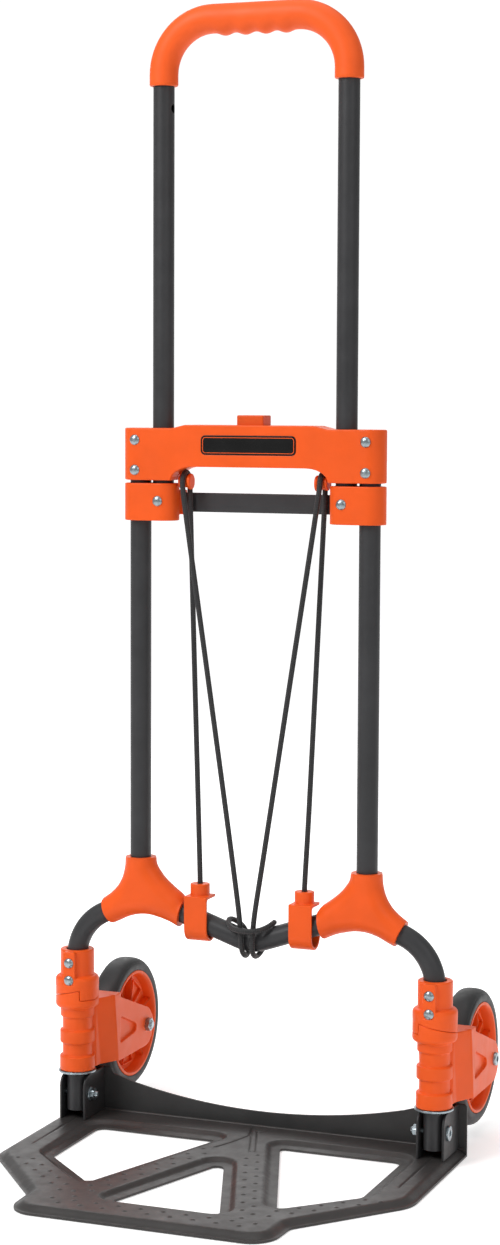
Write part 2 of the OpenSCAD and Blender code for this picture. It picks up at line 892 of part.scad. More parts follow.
// Plugs pressed into the lower ends of the handle tubes
module handle_end_plugs() {
  color([0.1, 0.1, 0.1])
    placed()
      for (s = [-1, 1])
        upright_bar(s * handle_x, handle_low - 1.6, handle_low + 8, bore_r - fix_gap);
}

// ---- toe plate ----

tab_x = 153.5;
tab_high = 47.5;
wall_dip = 20.4;
wall_arc_r = 580;

// Back wall: a long hollow curve between two tabs behind the legs
module back_wall() {
  slab(concat(
    [[-plate_half_w, 0], [plate_half_w, 0], [plate_half_w, tab_high - 2],
      [plate_half_w - 2, tab_high], [tab_x + 3, tab_high], [tab_x, tab_high - 3]],
    [for (i = [8 : -1 : -8])
      let (x = i * (tab_x - 1) / 8)
      [x, wall_dip + wall_arc_r - sqrt(wall_arc_r * wall_arc_r - x * x)]],
    [[-tab_x, tab_high - 3], [-tab_x - 3, tab_high], [-plate_half_w + 2, tab_high],
      [-plate_half_w, tab_high - 2]]
  ), wall_y, wall_y + plate_t);
}

module toe_plate() {
  top_edge = inset(plate_outline, 6);
  groove_w = 2;
  color([0.3, 0.3, 0.3])
    placed() {
      difference() {
        union() {
          prism(rounded(plate_outline), plate_top - plate_t, plate_top);
          prism(rounded(plate_outline), 0, plate_top);
        }
        prism(rounded(inset(plate_outline, plate_t)), -1, plate_top - plate_t);
        for (w = windows) prism(rounded(w), -1, plate_top + 1);
        for (s = [-1, 1])
          box(s * leg_x - groove_w / 2, s * leg_x + groove_w / 2, -93, -16, plate_top - 0.8,
            plate_top + 1);
        box(-plate_half_w - 1, plate_half_w + 1, strip_from, wall_y, plate_top - strip_drop,
          plate_top + 1);
      }
      for (w = windows)
        difference() {
          prism(rounded(inset(w, -plate_t)), lip_low, plate_top - plate_t + join);
          prism(rounded(w), 0, plate_top);
        }
      back_wall();
    }
}

// U-shaped bracket that holds one leg, open to the front and the top
module hinge_bracket(s) {
  out = bracket_in + bracket_t;
  back = wall_y - fix_gap;
  foot = plate_top - strip_drop + fix_gap;
  web_front = back - bracket_t;
  profile = rounded([
    [-bracket_front, foot, 0], [back, foot, 0], [back, bracket_high, 0],
    [-bracket_front, bracket_high, bracket_round]
  ]);
  color([0.16, 0.16, 0.16])
    on_side(s) translate([leg_x, 0, 0]) difference() {
      union() {
        side_slab(profile, bracket_in, out);
        side_slab(profile, -out, -bracket_in);
        box(-out, out, web_front, back, foot, bracket_high);
      }
      bar_x(0, hinge_z, -out - 1, out + 1, hinge_bolt_r + fix_gap);
    }
}

module hinge_bolts() {
  out = bracket_in + bracket_t;
  color([0.7, 0.74, 0.76])
    placed()
      for (s = [-1, 1]) {
        head = s * (leg_x + out);
        tip = s * (leg_x - out - 8);
        bar_x(0, hinge_z, min(head, tip), max(head, tip), hinge_bolt_r);
        translate([head, 0, hinge_z]) rotate([0, s * 90, 0]) cylinder(r = hinge_head_r, h = 2.4);
      }
}

module hinge_nuts() {
  out = bracket_in + bracket_t;
  color([0.7, 0.74, 0.76])
    placed()
      for (s = [-1, 1])
        translate([s * (leg_x - out), 0, hinge_z]) rotate([0, -s * 90, 0])
          difference() {
            union() {
              cylinder(r = 6.4, h = 1.4);
              cylinder(r = 5.6, h = 5.6, $fn = 6);
            }
            translate([0, 0, -1]) cylinder(r = hinge_bolt_r + fix_gap, h = 8);
          }
}

// ---- wheels ----

module thrust_washer(s) {
  color([0.72, 0.76, 0.78])
    on_side(s) translate([leg_x, 0, 0]) difference() {
      upright_bar(0, sleeve_foot - washer_t - 0.2, sleeve_foot - 0.2, washer_r);
      upright_bar(0, 0, 100, tube_r + slide_gap);
    }
}

// Side outline of the yoke's arms, [distance behind the leg, height]
arm_outline = [
  [37.6, yoke_foot, 0], [112, yoke_foot, 17], [axle_y + arm_end_r, axle_z + 2, 14],
  [109, 88, 12], [28.8, yoke_head, 0]
];
recess_outline = [[42, 68.5, 2], [93, 73.5, 4.5], [43, 94, 2]];

// Wedge from the sleeve to the arms, creased from the sleeve's foot to the arms' head
module fork_root() {
  out = yoke_half - 0.3;
  low = yoke_foot + root_inset;
  tall = yoke_head - yoke_foot - 2 * root_inset;
  // slanted face of the flank, from the foot's crease to the head's
  crease = [15, 19, yoke_foot];
  flank = cross([out - 15, 18, 0], [7.4, 7, yoke_head - yoke_foot]);
  turn = atan2(flank[1], flank[0]);
  lean = -atan2(flank[2], norm([flank[0], flank[1]]));
  for (half_turn = [0, 1])
    mirror([half_turn, 0, 0]) {
      translate([0, 0, low]) linear_extrude(tall)
        polygon([[-join, 6], [9, 6], [14, 11], [15, 19], [out, 37], [out, 44], [-join, 44]]);
      intersection() {
        translate([0, 0, low]) linear_extrude(tall)
          polygon([[-join, 6], [9, 6], [14, 11], [22.4, 27], [out, 28.4], [out, 44], [-join, 44]]);
        translate(crease) rotate([0, lean, turn]) translate([-80, -60, -20]) cube([80, 120, 140]);
      }
    }
}

module yoke(s) {
  arm_in = yoke_half - arm_t;
  color([0.94, 0.37, 0.14])
    on_side(s) translate([leg_x, 0, 0]) difference() {
      union() {
        band(1, 16.2, sleeve_foot, 66, 0.6, 0.8);
        band(1, 13.6, 65, 79, 0, 0);
        band(1, 16, 78.1, 90, 0.8, 0.8);
        band(1, 13.6, 89, 103, 0, 0);
        band(1, 15.5, 102.5, cuff_low + 1, 0.8, 0);
        band(1, cuff_r, cuff_low, cam_core_low, cuff_round, 0);
        cam_ring(cam_core_low - join, 0, 0);
        fork_root();
        for (e = [-1, 1]) {
          near = e * arm_in;
          far = e * yoke_half;
          side_slab(rounded(arm_outline), min(near, far), max(near, far));
          bar_x(axle_y, axle_z, min(near, e * (hub_w / 2 + 0.5)),
            max(near, e * (hub_w / 2 + 0.5)), 9);
        }
      }
      // room for the wheel
      bar_x(axle_y, axle_z, -arm_in, arm_in, wheel_r + 3.2);
      upright_bar(0, 0, 200, tube_r + run_gap);
      upright_bar(0, spring_low, 200, spring_room_r);
      bar_x(axle_y, axle_z, -50, 50, axle_r + fix_gap);
      for (e = [-1, 1])
        side_slab(rounded(recess_outline), e > 0 ? yoke_half - 3 : -yoke_half - 1,
          e > 0 ? yoke_half + 1 : 3 - yoke_half);
    }
  // bosses that meet the hub on both sides
  color([0.94, 0.37, 0.14])
    on_side(s) translate([leg_x, 0, 0])
      for (e = [-1, 1])
        difference() {
          bar_x(axle_y, axle_z, e > 0 ? hub_w / 2 + 0.4 : -arm_in - join,
            e > 0 ? arm_in + join : -hub_w / 2 - 0.4, 9);
          bar_x(axle_y, axle_z, -50, 50, axle_r + fix_gap);
        }
}

// Axle bolt: head on the outer side, threaded end on the inner side
module axle_bolt(s) {
  color([0.7, 0.74, 0.76])
    on_side(s) translate([leg_x, axle_y, axle_z]) {
      translate([-yoke_half - 6, 0, 0]) rotate([0, 90, 0])
        cylinder(r = axle_r, h = yoke_w + 6);
      translate([yoke_half, 0, 0]) rotate([0, 90, 0]) cylinder(r = axle_head_r, h = 1.6);
      translate([yoke_half + 1, 0, 0]) rotate([0, 90, 0])
        cylinder(r1 = axle_head_r - 0.4, r2 = 3, h = 1.8);
    }
}

module axle_nut(s) {
  color([0.7, 0.74, 0.76])
    on_side(s) translate([leg_x - yoke_half, axle_y, axle_z]) rotate([0, -90, 0])
      difference() {
        union() {
          cylinder(r = 6, h = 1);
          cylinder(r = 5.2, h = 4.4, $fn = 6);
        }
        translate([0, 0, -1]) cylinder(r = axle_r + fix_gap, h = 7);
      }
}

module wheel_place(s) {
  on_side(s) translate([leg_x, axle_y, axle_z]) rotate([0, 90, 0]) children();
}

spokes = 5;

module wheel_rim(s) {
  half = rim_w / 2;
  color([0.94, 0.37, 0.14])
    wheel_place(s) difference() {
      union() {
        rotate_extrude() polygon([
          [44, -half + 1], [47.5, -half], [rim_lip_r, -half], [rim_lip_r, -half + 2],
          [rim_seat_r, -half + 2.5], [rim_seat_r, half - 2.5], [rim_lip_r, half - 2],
          [rim_lip_r, half], [47.5, half], [44, half - 1]
        ]);
        translate([0, 0, -hub_w / 2]) cylinder(r = hub_r, h = hub_w);
        translate([0, 0, -1.5]) cylinder(r = 45, h = 3);
        for (i = [0 : spokes - 1])
          rotate([0, 0, 90 + i * 360 / spokes])
            translate([hub_r - 2, -1.8, -9]) cube([45 - hub_r + 2, 3.6, 18]);
      }
      translate([0, 0, -50]) cylinder(r = bush_r + fix_gap, h = 100);
    }
}

module tyre(s) {
  seat = rim_seat_r + fix_gap;
  lip = rim_lip_r + fix_gap;
  half = wheel_w / 2;
  inner = rim_w / 2 - 2.5;
  color([0.2, 0.2, 0.21])
    wheel_place(s)
      rotate_extrude(convexity = 4)
        polygon(concat(
          [[seat, -inner + 0.1], [lip, -inner - 0.2], [lip, -half + 1]],
          corner([lip, -half], [wheel_r, -half], [wheel_r, half], 6, 8),
          corner([wheel_r, -half], [wheel_r, half], [lip, half], 6, 8),
          [[lip, half - 1], [lip, inner + 0.2], [seat, inner - 0.1]]
        ));
}

// Plain bush between axle and hub
module wheel_bush(s) {
  color([0.75, 0.72, 0.6])
    wheel_place(s) difference() {
      translate([0, 0, -hub_w / 2]) cylinder(r = bush_r, h = hub_w);
      translate([0, 0, -50]) cylinder(r = axle_r + run_gap, h = 100);
    }
}

// ---- nodes ----

base_tube();
upright(-1);  // upright_left
upright(1);  // upright_right
joint_cover(-1);  // joint_cover_left
joint_cover(1);  // joint_cover_right
housing_front();
housing_rear();
housing_rivets();
badge_plate();
leg_collar(-1);  // leg_collar_left
leg_collar(1);  // leg_collar_right
collar_rivets();
fold_spring(-1);  // fold_spring_left
fold_spring(1);  // fold_spring_right
bungee_cord();
cord_clip(-1);  // cord_clip_left
cord_clip(1);  // cord_clip_right
handle_tube();
handle_grip();
clamp(-1);  // clamp_left
clamp(1);  // clamp_right
clamp_rivets();
crossbar();
handle_end_plugs();
release_button();
latch_slider(-1);  // latch_slider_left
latch_slider(1);  // latch_slider_right
latch_spring();
toe_plate();
hinge_bracket(-1);  // hinge_bracket_left
hinge_bracket(1);  // hinge_bracket_right
hinge_bolts();
hinge_nuts();
thrust_washer(-1);  // thrust_washer_left
thrust_washer(1);  // thrust_washer_right
yoke(-1);  // yoke_left
yoke(1);  // yoke_right
axle_bolt(-1);  // axle_bolt_left
axle_bolt(1);  // axle_bolt_right
axle_nut(-1);  // axle_nut_left
axle_nut(1);  // axle_nut_right
wheel_rim(-1);  // wheel_rim_left
wheel_rim(1);  // wheel_rim_right
tyre(-1);  // tyre_left
tyre(1);  // tyre_right
wheel_bush(-1);  // wheel_bush_left
wheel_bush(1);  // wheel_bush_right
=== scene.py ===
import math

import bmesh
import bpy
import numpy as np
from mathutils import Matrix, Vector
from mathutils.geometry import delaunay_2d_cdt


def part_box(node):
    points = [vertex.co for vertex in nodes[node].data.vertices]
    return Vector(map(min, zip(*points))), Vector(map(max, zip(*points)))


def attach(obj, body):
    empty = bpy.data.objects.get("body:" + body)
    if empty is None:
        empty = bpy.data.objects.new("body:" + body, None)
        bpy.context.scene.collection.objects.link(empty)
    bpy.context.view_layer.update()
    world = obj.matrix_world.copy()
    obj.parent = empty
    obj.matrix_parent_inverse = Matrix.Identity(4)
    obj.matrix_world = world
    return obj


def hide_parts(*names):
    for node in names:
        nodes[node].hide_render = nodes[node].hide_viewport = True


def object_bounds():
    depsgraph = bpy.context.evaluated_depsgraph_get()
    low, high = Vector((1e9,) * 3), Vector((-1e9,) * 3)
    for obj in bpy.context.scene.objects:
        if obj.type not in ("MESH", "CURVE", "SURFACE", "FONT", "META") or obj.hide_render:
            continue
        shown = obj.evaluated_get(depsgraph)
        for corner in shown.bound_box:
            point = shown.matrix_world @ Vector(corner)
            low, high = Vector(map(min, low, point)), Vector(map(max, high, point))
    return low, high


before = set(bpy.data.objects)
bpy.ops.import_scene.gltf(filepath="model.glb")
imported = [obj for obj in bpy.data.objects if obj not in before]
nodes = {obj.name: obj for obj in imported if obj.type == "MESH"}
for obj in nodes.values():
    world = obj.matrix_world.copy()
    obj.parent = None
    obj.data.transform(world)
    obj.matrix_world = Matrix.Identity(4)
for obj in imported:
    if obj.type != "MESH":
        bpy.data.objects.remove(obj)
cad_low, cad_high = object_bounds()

# Lengths below are in millimetres in the frame of the leg tubes: x and z are
# the row's own, and y counts from the plane of the tubes.
MM = 0.001
scene = bpy.context.scene


def box_mm(node):
    low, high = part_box(node)
    return low / MM, high / MM


def middle(node):
    low, high = box_mm(node)
    return (low + high) / 2


TUBE_R = 9.5
LEG_Y = middle("upright_left").y
LEG_X = box_mm("base_tube")[1].x - TUBE_R
UPRIGHT_X = middle("upright_right").x
AXLE_Y = middle("tyre_right").y - LEG_Y
AXLE_Z = middle("tyre_right").z


def metres(p):
    return Vector((p[0] * MM, (p[1] + LEG_Y) * MM, p[2] * MM))


# ---------------------------------------------------------------- materials


class Mat:
    """A node material; all patterns follow the piece's own coordinates."""

    def __init__(self, name, color, rough, metal=0.0):
        self.m = bpy.data.materials.new(name)
        self.m.use_nodes = True
        self.tree = self.m.node_tree
        self.b = self.tree.nodes["Principled BSDF"]
        self.b.inputs["Base Color"].default_value = (*color, 1)
        self.b.inputs["Roughness"].default_value = rough
        self.b.inputs["Metallic"].default_value = metal
        self.coord = self.tree.nodes.new("ShaderNodeTexCoord").outputs["Object"]
        self.height = None

    def link(self, a, b):
        self.tree.links.new(a, b)

    def node(self, kind, **inputs):
        n = self.tree.nodes.new(kind)
        for key, value in inputs.items():
            n.inputs[key.replace("_", " ")].default_value = value
        return n

    def noise(self, scale, detail=3.0, rough=0.55, source=None):
        n = self.node("ShaderNodeTexNoise", Scale=scale, Detail=detail, Roughness=rough)
        self.link(source or self.coord, n.inputs["Vector"])
        return n.outputs["Fac"]

    def voronoi(self, scale):
        n = self.node("ShaderNodeTexVoronoi", Scale=scale)
        self.link(self.coord, n.inputs["Vector"])
        return n.outputs["Distance"]

    def remap(self, source, low, high, to_low, to_high):
        n = self.tree.nodes.new("ShaderNodeMapRange")
        self.link(source, n.inputs["Value"])
        n.inputs["From Min"].default_value = low
        n.inputs["From Max"].default_value = high
        n.inputs["To Min"].default_value = to_low
        n.inputs["To Max"].default_value = to_high
        return n.outputs["Result"]

    def math(self, kind, a, b=0.0):
        n = self.tree.nodes.new("ShaderNodeMath")
        n.operation = kind
        for i, value in enumerate((a, b)):
            if isinstance(value, (int, float)):
                n.inputs[i].default_value = value
            else:
                self.link(value, n.inputs[i])
        return n.outputs[0]

    def vector(self, kind, a, b=None):
        n = self.tree.nodes.new("ShaderNodeVectorMath")
        n.operation = kind
        self.link(a, n.inputs[0])
        if b is not None:
            n.inputs[1].default_value = b
        return n.outputs["Value" if kind == "DOT_PRODUCT" else "Vector"]

    def color(self, fac, stops):
        n = self.tree.nodes.new("ShaderNodeValToRGB")
        ramp = n.color_ramp
        while len(ramp.elements) < len(stops):
            ramp.elements.new(0.5)
        for e, (pos, col) in zip(ramp.elements, stops):
            e.position = pos
            e.color = (*col, 1)
        self.link(fac, n.inputs["Fac"])
        self.link(n.outputs["Color"], self.b.inputs["Base Color"])
        return n.outputs["Color"]

    def rough(self, fac, low, high):
        self.link(self.remap(fac, 0.3, 0.7, low, high), self.b.inputs["Roughness"])

    def bump(self, source, strength, distance):
        n = self.node("ShaderNodeBump", Strength=strength, Distance=distance)
        self.link(source, n.inputs["Height"])
        if self.height is not None:
            self.link(self.height, n.inputs["Normal"])
        self.height = n.outputs["Normal"]
        self.link(self.height, self.b.inputs["Normal"])


def shade(c, k):
    return tuple(min(1.0, v * k) for v in c)


def plastic(name, color, rough, grain=1.0):
    """Moulded plastic: cloudy tone, satin skin and a fine spark-eroded grain."""
    m = Mat(name, color, rough)
    cloud = m.noise(22, 4)
    m.color(cloud, [(0.3, shade(color, 0.93)), (0.7, shade(color, 1.06))])
    m.rough(m.noise(60, 3), rough - 0.05, rough + 0.06)
    m.bump(m.noise(420, 2), 0.05 * grain, 0.0004)
    m.bump(m.noise(2600, 2), 0.12 * grain, 0.0001)
    m.b.inputs["Specular IOR Level"].default_value = 0.28
    return m.m


def coat(name, color, rough, orange_peel=1.0, coat_weight=0.0):
    """Powder coat on steel: slightly mottled, with orange peel and fine speckle."""
    m = Mat(name, color, rough)
    m.color(m.noise(35, 5), [(0.3, shade(color, 0.88)), (0.7, shade(color, 1.12))])
    m.rough(m.noise(90, 3), rough - 0.05, rough + 0.07)
    m.bump(m.noise(500, 3), 0.10 * orange_peel, 0.0003)
    m.bump(m.voronoi(1500), 0.06 * orange_peel, 0.0001)
    m.b.inputs["Specular IOR Level"].default_value = 0.35
    m.b.inputs["Coat Weight"].default_value = coat_weight
    m.b.inputs["Coat Roughness"].default_value = 0.35
    return m.m


def plated(name, color, rough):
    """Zinc plate: cool metal with faint crystal patches and fine scratches."""
    m = Mat(name, color, rough, 1.0)
    patch = m.voronoi(450)
    m.color(patch, [(0.1, shade(color, 0.86)), (0.6, shade(color, 1.08))])
    m.rough(m.noise(300, 4), rough - 0.07, rough + 0.1)
    m.bump(m.noise(1800, 3), 0.08, 0.0001)
    return m.m


def rubber(name, color, rough):
    m = Mat(name, color, rough)
    m.color(m.noise(40, 5), [(0.3, shade(color, 0.85)), (0.7, shade(color, 1.15))])
    m.rough(m.noise(120, 4), rough - 0.06, rough + 0.08)
    m.bump(m.noise(700, 4), 0.10, 0.0003)
    m.b.inputs["Specular IOR Level"].default_value = 0.4
    return m.m


def braid(name, color):
    """Braided sheath: two sets of helical strands crossing, drawn on the cord's own UV."""
    m = Mat(name, color, 0.62)
    uv = m.tree.nodes.new("ShaderNodeUVMap")
    uv.uv_map = "UVMap"
    split = m.tree.nodes.new("ShaderNodeSeparateXYZ")
    m.link(uv.outputs["UV"], split.inputs[0])
    along = m.math("MULTIPLY", split.outputs["X"], 2 * math.pi * 250)
    around = m.math("MULTIPLY", split.outputs["Y"], 2 * math.pi * 4)
    one = m.math("SINE", m.math("ADD", along, around))
    two = m.math("SINE", m.math("SUBTRACT", along, around))
    weave = m.math("MULTIPLY", one, two)
    # The colour follows the weave's relief: darker in the grooves between strands (painted shade), lighter
    # on the crests (painted highlight).
    m.color(m.remap(weave, -1, 1, 0, 1), [(0.0, shade(color, 0.6)), (1.0, shade(color, 1.7))])
    m.bump(weave, 0.5, 0.0004)
    m.bump(m.noise(3000, 2), 0.15, 0.0001)
    m.b.inputs["Sheen Weight"].default_value = 0.15
    return m.m


ORANGE = (0.84, 0.098, 0.008)
mat_orange = plastic("orange_plastic", ORANGE, 0.42)
mat_grip = plastic("grip_plastic", (0.86, 0.108, 0.013), 0.5, 1.6)
mat_button = plastic("button_plastic", shade(ORANGE, 0.86), 0.4)
mat_tube = coat("tube_coat", (0.035, 0.035, 0.037), 0.4)
mat_bar = coat("bar_coat", (0.036, 0.036, 0.038), 0.45)
# One powder coat for the toe plate's deck, wall and brackets, given in three tones: the deck lighter and
# warm-tinted (painted light from above, painted reflection of the orange parts), the brackets darker
# (painted shade).
mat_plate_painted_lit = coat("plate_coat_painted_light", (0.04, 0.037, 0.036), 0.42, 1.3)
mat_bracket_painted_shade = coat("bracket_coat_painted_shade", (0.028, 0.028, 0.029), 0.42)
mat_wall = coat("wall_coat", (0.034, 0.034, 0.034), 0.45)
mat_zinc = plated("zinc_plate", (0.34, 0.40, 0.43), 0.28)
mat_wire = plated("spring_wire", (0.5, 0.5, 0.52), 0.35)
mat_tyre = rubber("tyre_rubber", (0.026, 0.027, 0.028), 0.5)
mat_black = plastic("black_plastic", (0.012, 0.012, 0.012), 0.45)
mat_badge = plastic("badge_gloss", (0.006, 0.006, 0.006), 0.22, 0.3)
mat_cord = braid("cord_braid", (0.011, 0.011, 0.012))
mat_bush = plastic("bush_nylon", (0.6, 0.56, 0.47), 0.5)

# ---------------------------------------------------------------- mesh tools


def v2(p):
    return np.array(p[:2], float)


def unit(v):
    return v / np.linalg.norm(v)


def rounded(points, n=6):
    """Closed outline [[x, y, radius], ...] with every corner rounded."""
    out = []
    k = len(points)
    for i in range(k):
        p, q, s = v2(points[i - 1]), v2(points[i]), v2(points[(i + 1) % k])
        r = points[i][2]
        if r < 0.05:
            out.append(q)
            continue
        u, v = unit(p - q), unit(s - q)
        half = math.acos(max(-1, min(1, float(u @ v)))) / 2
        c = q + unit(u + v) * r / math.sin(half)
        a, b = q + u * r / math.tan(half), q + v * r / math.tan(half)
        a0 = math.atan2(a[1] - c[1], a[0] - c[0])
        turn = math.atan2(b[1] - c[1], b[0] - c[0]) - a0
        turn = (turn + math.pi) % (2 * math.pi) - math.pi
        turns = [a0 + turn * j / n for j in range(n + 1)]
        out += [c + r * np.array([math.cos(a), math.sin(a)]) for a in turns]
    return np.array(out)


def rounded_box(x0, x1, y0, y1, r):
    return rounded([[x0, y0, r], [x1, y0, r], [x1, y1, r], [x0, y1, r]])


def circle(c, r, n=32):
    turns = [2 * math.pi * i / n for i in range(n)]
    return np.array([[c[0] + r * math.cos(a), c[1] + r * math.sin(a)] for a in turns])


def area(loop):
    x, y = loop[:, 0], loop[:, 1]
    return 0.5 * float(np.sum(x * np.roll(y, -1) - np.roll(x, -1) * y))


def grow(loop, d):
    """The closed loop moved outwards by d."""
    prev, nxt = np.roll(loop, 1, 0), np.roll(loop, -1, 0)
    a = loop - prev
    b = nxt - loop
    a /= np.maximum(np.linalg.norm(a, axis=1, keepdims=True), 1e-9)
    b /= np.maximum(np.linalg.norm(b, axis=1, keepdims=True), 1e-9)
    na = np.stack([a[:, 1], -a[:, 0]], 1)
    nb = np.stack([b[:, 1], -b[:, 0]], 1)
    if area(loop) < 0:
        na, nb = -na, -nb
    m = na + nb
    m /= np.maximum(1 + np.sum(na * nb, 1, keepdims=True), 0.4)
    return loop + m * d


def resample(path, step, closed=True):
    """The path with points no further apart than step."""
    out = []
    for p, q in zip(path, np.roll(path, -1, 0) if closed else path[1:]):
        n = max(1, int(math.ceil(np.linalg.norm(q - p) / step)))
        out += [p + (q - p) * i / n for i in range(n)]
    return np.array(out if closed else out + [path[-1]])


def inside(points, loop):
    x, y = points[:, 0], points[:, 1]
    hit = np.zeros(len(points), bool)
    for (x0, y0), (x1, y1) in zip(loop, np.roll(loop, -1, 0)):
        cross = (y0 > y) != (y1 > y)
        with np.errstate(divide="ignore", invalid="ignore"):
            hit ^= cross & (x < (x1 - x0) * (y - y0) / (y1 - y0) + x0)
    return hit


def distance(points, path):
    """Distance of each point to a polyline, given as an array of points."""
    best = np.full(len(points), 1e9)
    for p, q in zip(path[:-1], path[1:]):
        d = q - p
        t = np.clip(((points - p) @ d) / max(float(d @ d), 1e-12), 0, 1)
        best = np.minimum(best, np.linalg.norm(points - (p + t[:, None] * d), axis=1))
    return best


def fill(loops, extra=()):
    """Triangles inside the first loop and outside the others.

    Returns points, triangles and, for each point of the loops, its place among the points.
    """
    pts, edges = [], []
    for loop in loops:
        n0 = len(pts)
        pts += [Vector((float(p[0]), float(p[1]))) for p in loop]
        edges += [(n0 + i, n0 + (i + 1) % len(loop)) for i in range(len(loop))]
    count = len(pts)
    pts += [Vector((float(p[0]), float(p[1]))) for p in extra]
    out, _, tris, origin, _, _ = delaunay_2d_cdt(pts, edges, [], 0, 1e-5)
    where = {}
    for i, src in enumerate(origin):
        for s in src:
            where[s] = i
    co = np.array([[p.x, p.y] for p in out])
    mids = np.array([co[list(t)].mean(0) for t in tris])
    keep = inside(mids, loops[0])
    for hole in loops[1:]:
        keep &= ~inside(mids, hole)
    return co, [tuple(t) for t, k in zip(tris, keep) if k], [where[i] for i in range(count)]


class Shape:
    """Vertices and faces collected from several closed shells."""

    def __init__(self):
        self.v = []
        self.f = []

    def add(self, verts, faces, m=None):
        n = len(self.v)
        for p in verts:
            q = Vector((float(p[0]), float(p[1]), float(p[2])))
            self.v.append(m @ q if m is not None else q)
        self.f += [tuple(n + i for i in f) for f in faces]
        return self


X_AXIS = Matrix(((0, 0, 1, 0), (1, 0, 0, 0), (0, 1, 0, 0), (0, 0, 0, 1)))      # local z -> +x
Y_BACK = Matrix(((1, 0, 0, 0), (0, 0, 1, 0), (0, -1, 0, 0), (0, 0, 0, 1)))     # local z -> +y
Y_FRONT = Matrix(((1, 0, 0, 0), (0, 0, -1, 0), (0, 1, 0, 0), (0, 0, 0, 1)))    # local z -> -y
Y_UPRIGHT = Matrix(((1, 0, 0, 0), (0, 0, 1, 0), (0, 1, 0, 0), (0, 0, 0, 1)))   # y and z change places


def at(x, y, z, turn=None):
    m = Matrix.Translation((x, y, z))
    return m @ turn if turn is not None else m


def lathe(profile, segs=64, closed=False):
    """Surface of revolution about local z from [(radius, height), ...]."""
    verts, faces, rings = [], [], []
    for r, h in profile:
        if r < 1e-4:
            rings.append([len(verts)])
            verts.append((0, 0, h))
        else:
            rings.append(list(range(len(verts), len(verts) + segs)))
            turns = [2 * math.pi * i / segs for i in range(segs)]
            verts += [(r * math.cos(a), r * math.sin(a), h) for a in turns]
    pairs = list(zip(rings, rings[1:])) + ([(rings[-1], rings[0])] if closed else [])
    for a, b in pairs:
        for i in range(segs):
            j = (i + 1) % segs
            if len(a) == 1 and len(b) == 1:
                continue
            if len(a) == 1:
                faces.append((a[0], b[i], b[j]))
            elif len(b) == 1:
                faces.append((a[i], b[0], a[j]))
            else:
                faces.append((a[i], b[i], b[j], a[j]))
    return verts, faces


def arc(cx, cy, r, a0, a1, n=6):
    """Points from angle a0 to angle a1, in degrees."""
    turns = [math.radians(a0 + (a1 - a0) * i / n) for i in range(n + 1)]
    return [(cx + r * math.cos(a), cy + r * math.sin(a)) for a in turns]


def prism(outline, z0, z1, r0=0.0, r1=0.0, holes=(), steps=4, edge=0.3):
    """Solid between z0 and z1: outer edges rounded by r0 and r1, holes with a small chamfer."""
    outline = np.array(outline, float)
    if area(outline) < 0:
        outline = outline[::-1]
    rows = []
    for i in range(steps + 1 if r0 > 0 else 1):
        a = math.radians(90 * i / steps) if r0 > 0 else math.pi / 2
        rows.append((r0 * (math.sin(a) - 1), z0 + r0 * (1 - math.cos(a))))
    for i in range(steps, -1, -1) if r1 > 0 else [steps]:
        a = math.radians(90 * i / steps)
        rows.append((r1 * (math.sin(a) - 1), z1 - r1 * (1 - math.cos(a))))
    verts, faces = [], []
    n = len(outline)
    for d, z in rows:
        loop = grow(outline, d) if d else outline
        verts += [(p[0], p[1], z) for p in loop]
    for k in range(len(rows) - 1):
        for i in range(n):
            j = (i + 1) % n
            faces.append((k * n + i, k * n + j, (k + 1) * n + j, (k + 1) * n + i))
    hole_rows = []
    for hole in holes:
        hole = np.array(hole, float)
        base = len(verts)
        m = len(hole)
        wide = grow(hole, edge)
        for loop, z in ((wide, z0), (hole, z0 + edge), (hole, z1 - edge), (wide, z1)):
            verts += [(p[0], p[1], z) for p in loop]
        for k in range(3):
            for i in range(m):
                j = (i + 1) % m
                low, high = base + k * m, base + (k + 1) * m
                faces.append((low + i, high + i, high + j, low + j))
        hole_rows.append((base, m, wide))
    for top in (False, True):
        ring = 0 if not top else (len(rows) - 1) * n
        loops = [np.array([verts[ring + i][:2] for i in range(n)])] + [w for _, _, w in hole_rows]
        co, tris, where = fill(loops)
        own = [ring + i for i in range(n)]
        for base, m, _ in hole_rows:
            start = base + (3 * m if top else 0)
            own += [start + i for i in range(m)]
        index = dict(zip(where, own))
        for t in tris:
            if all(i in index for i in t):
                f = tuple(index[i] for i in t)
                faces.append(f if top else f[::-1])
    return verts, faces


def sweep(path, radius, sides=24, caps=True, bulge=None):
    """Tube along a path of points. bulge(point, direction) adds to the radius."""
    p = [Vector(q) for q in path]
    last = len(p) - 1
    tangents = [(p[min(i + 1, last)] - p[max(i - 1, 0)]).normalized() for i in range(last + 1)]
    n = Vector((1, 0, 0)) if abs(tangents[0].x) < 0.8 else Vector((0, 1, 0))
    verts, faces = [], []
    for i, t in enumerate(tangents):
        n = (n - n.dot(t) * t).normalized()
        b = t.cross(n)
        for k in range(sides):
            a = 2 * math.pi * k / sides
            d = math.cos(a) * n + math.sin(a) * b
            extra = bulge(p[i], d) if bulge else 0.0
            verts.append(p[i] + (radius + extra) * d)
    for i in range(last):
        for k in range(sides):
            j = (k + 1) % sides
            faces.append((i * sides + k, i * sides + j, (i + 1) * sides + j, (i + 1) * sides + k))
    if caps:
        faces.append(tuple(range(sides - 1, -1, -1)))
        faces.append(tuple(last * sides + k for k in range(sides)))
    return verts, faces


